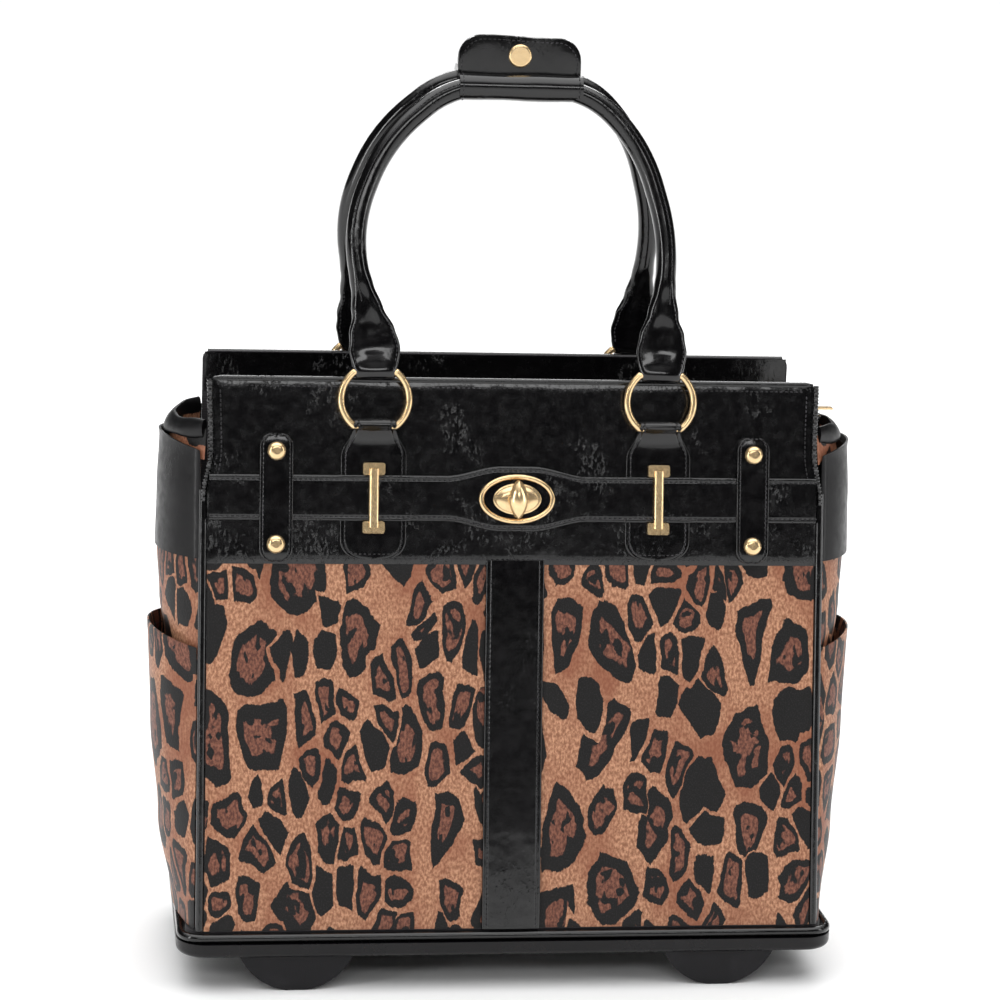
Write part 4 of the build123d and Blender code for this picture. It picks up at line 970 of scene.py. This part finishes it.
def closure():
    front_seam = 1000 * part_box("front_zip_flap")[0].y + 1.5
    rear_seam = 1000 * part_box("rear_zip_flap")[1].y - 1.5
    for front in (True, False):
        seam = front_seam if front else rear_seam
        sign = -1 if front else 1
        free = ZIP_Y + sign * 2.5

        def flap(u, v, seam=seam, free=free, sign=sign):
            x = (2 * u - 1) * ZIP_HALF * (1 if sign < 0 else 1)
            y = seam + (free - seam) * v if sign < 0 else free + (seam - free) * v
            towards = (y - seam) / (free - seam)
            z = ZIP_Z + 0.8 - 0.55 * math.sin(math.pi * towards) + 0.25 * wobble((x, y, 0), 40)
            return Vector((x, y, z))

        body = "front_zip_flap" if front else "rear_zip_flap"
        piece = Parts().add(*sheet(flap, 80, 12, 1.5))
        piece.add(*cord([Vector((x, seam, ZIP_Z)) for x in range(-193, 194, 6)], 1.5, sides=10))
        piece.make(f"{body}_sewn", PATENT, body, "patent", stands_for=(body,))
        share = 0.86 if front else 0.14
        stitch(body, [flap(u / 50, share) for u in range(1, 50)], Vector((0, 0, 1)))
        coil = teeth(-ZIP_HALF + 1, ZIP_HALF - 1, ZIP_Y + sign * 2.9, ZIP_Z - 0.2, -sign)
        y0, y1 = sorted((ZIP_Y + sign * 2.1, ZIP_Y + sign * 4.3))
        band = [Vector((x, (y0 + y1) / 2, ZIP_Z)) for x in range(-193, 194, 6)]
        coil.add(*strap(band, Vector((0, 0, 1)), lambda i: (y1 - y0) / 2, lambda i: -1.2, lambda i: 0.5, crown=0.1))
        coil.make(f"{body}_teeth", FINISHES["tape"], body, "tape", stands_for=(body.replace("flap", "coil"),))
    xs = ends(20, ZIP_HALF + 14.6, 217.0)
    line = [Vector((x, ZIP_Y, ZIP_Z)) for x in xs]
    tail = Parts().add(*strap(
        line, Vector((0, 0, 1)), lambda i: 9.0 - corner(217.0 - xs[i], 5.0), lambda i: -0.7, lambda i: 0.7, crown=0.2,
        groove=1.8,
    ))
    for way in (-1, 1):
        arm = [Vector((x, ZIP_Y + way * 5.4, ZIP_Z)) for x in ends(10, ZIP_HALF + 1.2, ZIP_HALF + 15)]
        tail.add(*strap(arm, Vector((0, 0, 1)), lambda i: 3.4, lambda i: -0.6, lambda i: 0.6, crown=0.1, groove=1.4))
    tail.make("zip_tail_sewn", PATENT, "case", "patent", stands_for=("zip_tail",))


def divider():
    """The padded, quilted wall of the computer space and its strap."""
    rings = []
    for x in ends(72, -189.0, 189.0):
        ring = []
        for side, row in ((-1, range(33)), (1, range(32, -1, -1))):
            for j in row:
                z = 41.0 + 276.5 * j / 32
                quilt = abs(math.sin(math.pi * (x + z) / 62)) ** 0.5 * abs(math.sin(math.pi * (x - z) / 62)) ** 0.5
                rim = min(1.0, (189.5 - abs(x)) / 6, (z - 40) / 6, (318.5 - z) / 6)
                half = (2.6 + 2.3 * quilt) * math.sqrt(max(rim, 0.02))
                ring.append(Vector((x, 28.0 + side * half, z)))
        rings.append(ring)
    pad = Parts().add(*loft(rings)).make("divider_quilted", FINISHES["lining"], "case", "lining", stands_for=("laptop_divider",))
    line = [Vector((0, y, 318.4 + 1.2 * math.sin(math.pi * (y - 24) / 37))) for y in ends(24, 24.5, 61.5)]
    band = Parts().add(*strap(line, Vector((0, 0, 1)), lambda i: 12.3, lambda i: -0.1, lambda i: 1.5, crown=0.15))
    band.make("divider_strap", FINISHES["tape"], "case", "tape")


def rear_cover():
    """The soft-cornered cover over the trolley tubes, with its slot for the grip."""
    def plan(t):
        """The cover's outline in plan, from the right edge of the rear board round the back to the left edge."""
        flat, side, bend = 2 * (HALF - 10), 15.0, 10 * math.pi / 2
        s = t * (flat + 2 * side + 2 * bend)
        mirror_x = 1
        total = flat + 2 * side + 2 * bend
        if s > total / 2:
            s, mirror_x = total - s, -1
        if s < side:
            return mirror_x * HALF, REAR_Y + s
        if s < side + bend:
            a = (s - side) / 10
            return mirror_x * (HALF - 10 + 10 * math.cos(a)), REAR_Y + 15 + 10 * math.sin(a)
        return mirror_x * (HALF - 10 - (s - side - bend)), COVER_Y

    def wall(u, v):
        x, y = plan(u)
        z = COVER_LOW + (COVER_TOP - COVER_LOW) * v
        swell = 1.6 * math.sin(math.pi * v) * ease((y - REAR_Y) / 25) * math.sin(math.pi * u)
        return Vector((x, y + swell + 0.3 * wobble((x, 0, z), 60), z))

    cover = Parts().add(*sheet(wall, 120, 44, 2.0, start=(2.0, 0.2)))
    slot_low, slot_high, slot_x = 68.2, 83.8, 66.0
    lid = [(-HALF + 3, -slot_x, REAR_Y + 0.4, COVER_Y - 1.6), (slot_x, HALF - 3, REAR_Y + 0.4, COVER_Y - 1.6)]
    lid += [(-slot_x, slot_x, REAR_Y + 0.4, slot_low), (-slot_x, slot_x, slot_high, COVER_Y - 1.6)]
    for x0, x1, y0, y1 in lid:
        def top(u, v, x0=x0, x1=x1, y0=y0, y1=y1):
            x = x0 + (x1 - x0) * u
            y = y0 + (y1 - y0) * v
            tuck = corner(HALF - 3 - abs(x), 8.0) if y > 80 else 0
            return Vector((x, y - tuck, COVER_TOP - 0.2 + 0.2 * wobble((x, y, 0), 30)))
        cover.add(*sheet(top, 30, 6, 1.8, start=(2.0, 0.6)))
        if abs(x0 + x1) > 1:
            def base(u, v, x0=x0, x1=x1):
                x = x0 * 1.0 + (x1 - x0) * u
                return Vector((x, COVER_Y - 1.6 - 22 * v, COVER_LOW + 0.2))
            cover.add(*sheet(base, 20, 4, -1.8))
    cover.make("rear_cover_sewn", PRINT, "case", "print", stands_for=("rear_cover",))
    trim = Parts()
    for z in (COVER_TOP - 0.6, COVER_LOW + 1.0):
        line = []
        for k in range(141):
            x, y = plan(k / 140)
            line.append(Vector((x, y, z)))
        trim.add(*cord(line, 1.9, sides=12))
    slot = [Vector((-slot_x, slot_low, 0)), Vector((slot_x, slot_low, 0)), Vector((slot_x, slot_high, 0))]
    slot.append(Vector((-slot_x, slot_high, 0)))
    mouth = []
    for a, b in zip(slot, slot[1:] + slot[:1]):
        mouth += [a.lerp(b, k / 12) + Vector((0, 0, COVER_TOP + 0.1)) for k in range(12)]
    trim.add(*cord(mouth, 1.0, sides=8, closed=True))
    trim.make("rear_cover_trim", SMOOTH_PATENT, "case", "patent")
    back = Vector((0, 1, 0))
    for v in (0.975, 0.03):
        stitch("case", [wall(0.09 + 0.82 * u / 60, v) for u in range(61)], back, lift=0.15)
    chain = teeth(-188, 188, COVER_Y - 0.4, 322.0, 1, pitch=2.0)
    chain.make("rear_zip_teeth", FINISHES["tape"], "case", "tape")


def ellipse_ring(rx, ry, out, sides=56):
    angles = [2 * math.pi * k / sides for k in range(sides)]
    return [on_face(rx * math.cos(a), BELT_UP + ry * math.sin(a), out) for a in angles]


def turn_lock():
    """The rolled rim round the belt's eye, the domed boss and the upright knob."""
    sides, rim = 72, []
    for k in range(sides):
        a = 2 * math.pi * k / sides
        ring = []
        for j in range(12):
            b = 2 * math.pi * j / 12
            grow = 1.7 * math.cos(b)
            ring.append(on_face(
                (23.7 + grow) * math.cos(a), BELT_UP + (14.7 + grow) * math.sin(a), BELT_TOP + 0.9 + 1.25 * math.sin(b),
            ))
        rim.append(ring)
    gold = FINISHES["gold"]
    Parts().add(*loft(rim, closed=True)).make("lock_rim", gold, "case", "gold", stands_for=("turnlock_plate",))
    seat = BELT_TOP + 1.2
    steps = [(16.0, 10.2, 0.0), (16.0, 10.2, 0.7), (15.2, 9.5, 1.1), (14.4, 8.8, 0.9), (13.6, 8.1, 1.2)]
    steps += [(11.6, 7.2, 2.2), (8.6, 5.8, 2.9), (5.0, 3.8, 3.05)]
    boss = Parts().add(*loft([ellipse_ring(rx, ry, seat + h) for rx, ry, h in steps]))
    boss.make("lock_boss", gold, "case", "gold", stands_for=("turnlock_boss",))
    rings = []
    for i in range(25):
        s = -1 + 2 * i / 24
        up = 12.6 * s
        wide = 6.4 * math.sqrt(max(1 - s * s, 0.012)) * (0.62 + 0.38 * math.cos(1.2 * s))
        tall = 10.6 - 4.2 * s * s
        ring = []
        for j in range(16):
            a = 2 * math.pi * j / 16
            ridge = abs(math.cos(a)) ** 1.7 * math.copysign(1, math.cos(a))
            low, high = seat + 3.4, seat + 3.4 + tall * 0.86
            out = (low + high) / 2 + (high - low) / 2 * math.sin(a)
            ring.append(on_face(wide * ridge, BELT_UP + up, out))
        rings.append(ring)
    knob = Parts().add(*loft(rings))
    knob.make("lock_knob", gold, "turnlock_knob", "gold", stands_for=("turnlock_knob",))


SPACES = {front: handle(front) for front in (True, False)}
for front, space in SPACES.items():
    grip_wrap(front, space)
front_panels()
centre_strip()
front_yoke()
facings()
piping()
rear_yoke()
belt()
belt_loops()
chapes()
SIDES, FLATS = side_parts()
closure()
divider()
rear_cover()
turn_lock()
for body, rows in STITCHES.items():
    rows.make(f"stitches_{body}", THREAD, body, "patent", angle=80)


# ---- floor, light and camera ----


def studio():
    floor_mesh = bpy.data.meshes.new("floor")
    size = 90.0
    floor_mesh.from_pydata([(-size, -size, 0), (size, -size, 0), (size, size, 0), (-size, size, 0)], [], [(0, 1, 2, 3)])
    floor = bpy.data.objects.new("floor", floor_mesh)
    bpy.context.scene.collection.objects.link(floor)
    s = Shader("pale_floor")
    tone = s.mix(s.noise(s.place(), 3.0, 2), (0.93, 0.93, 0.93, 1), (0.95, 0.95, 0.95, 1))
    floor_mesh.materials.append(s.finish(Base_Color=tone, Roughness=0.9, Specular_IOR_Level=0.1))

    world = bpy.data.worlds.new("studio")
    bpy.context.scene.world = world
    world.use_nodes = True
    tree = world.node_tree
    coords = tree.nodes.new("ShaderNodeTexCoord")
    split = tree.nodes.new("ShaderNodeSeparateXYZ")
    tree.links.new(coords.outputs["Generated"], split.inputs[0])
    brighter = tree.nodes.new("ShaderNodeMath")
    brighter.operation = "MAXIMUM"
    for slot, steps in enumerate(((0.6, 0.9, 0.035, 2.6), (0.012, 0.032, 1.0, 0.0))):
        rise = tree.nodes.new("ShaderNodeMapRange")
        rise.interpolation_type = "SMOOTHSTEP"
        for key, value in enumerate(steps, 1):
            rise.inputs[key].default_value = value
        tree.links.new(split.outputs["Z"], rise.inputs[0])
        tree.links.new(rise.outputs[0], brighter.inputs[slot])
    tree.links.new(brighter.outputs[0], tree.nodes["Background"].inputs["Strength"])
    tree.nodes["Background"].inputs["Color"].default_value = (1, 1, 1, 1)

    boxes = (
        ("left_softbox", (-2.1, -1.3, 0.9), (0.3, 1.7), 15),
        ("right_softbox", (2.1, -1.0, 0.95), (0.3, 1.7), 9),
        ("front_fill", (-0.2, -2.9, 1.8), (2.2, 0.5), 16),
        ("rear_fill", (0.3, 2.4, 1.9), (2.0, 1.0), 30),
    )
    for name, place, size, power in boxes:
        light = bpy.data.lights.new(name, "AREA")
        light.shape = "RECTANGLE"
        light.size, light.size_y = size
        light.energy = power
        lamp = bpy.data.objects.new(name, light)
        lamp.location = place
        lamp.rotation_euler = (Vector((0, 0, 0.3)) - Vector(place)).to_track_quat("-Z", "Y").to_euler()
        bpy.context.scene.collection.objects.link(lamp)


def camera():
    yaw, pitch, roll = math.radians(8.211), math.radians(-11.726), math.radians(2.09)
    ahead = Vector((math.sin(yaw) * math.cos(pitch), math.cos(yaw) * math.cos(pitch), math.sin(pitch)))
    right = Vector((math.cos(yaw), -math.sin(yaw), 0))
    up = right.cross(ahead)
    x_axis = right * math.cos(roll) + up * math.sin(roll)
    y_axis = up * math.cos(roll) - right * math.sin(roll)
    data = bpy.data.cameras.new("camera")
    data.sensor_width = 36.0
    data.lens = 111.6
    cam = bpy.data.objects.new("camera", data)
    cam.matrix_world = Matrix.Translation((-0.2974, -2.0294, 0.7391)) @ Matrix((x_axis, y_axis, -ahead)).transposed().to_4x4()
    bpy.context.scene.collection.objects.link(cam)
    bpy.context.scene.camera = cam


studio()
camera()
bpy.context.scene.view_settings.view_transform = "Standard"
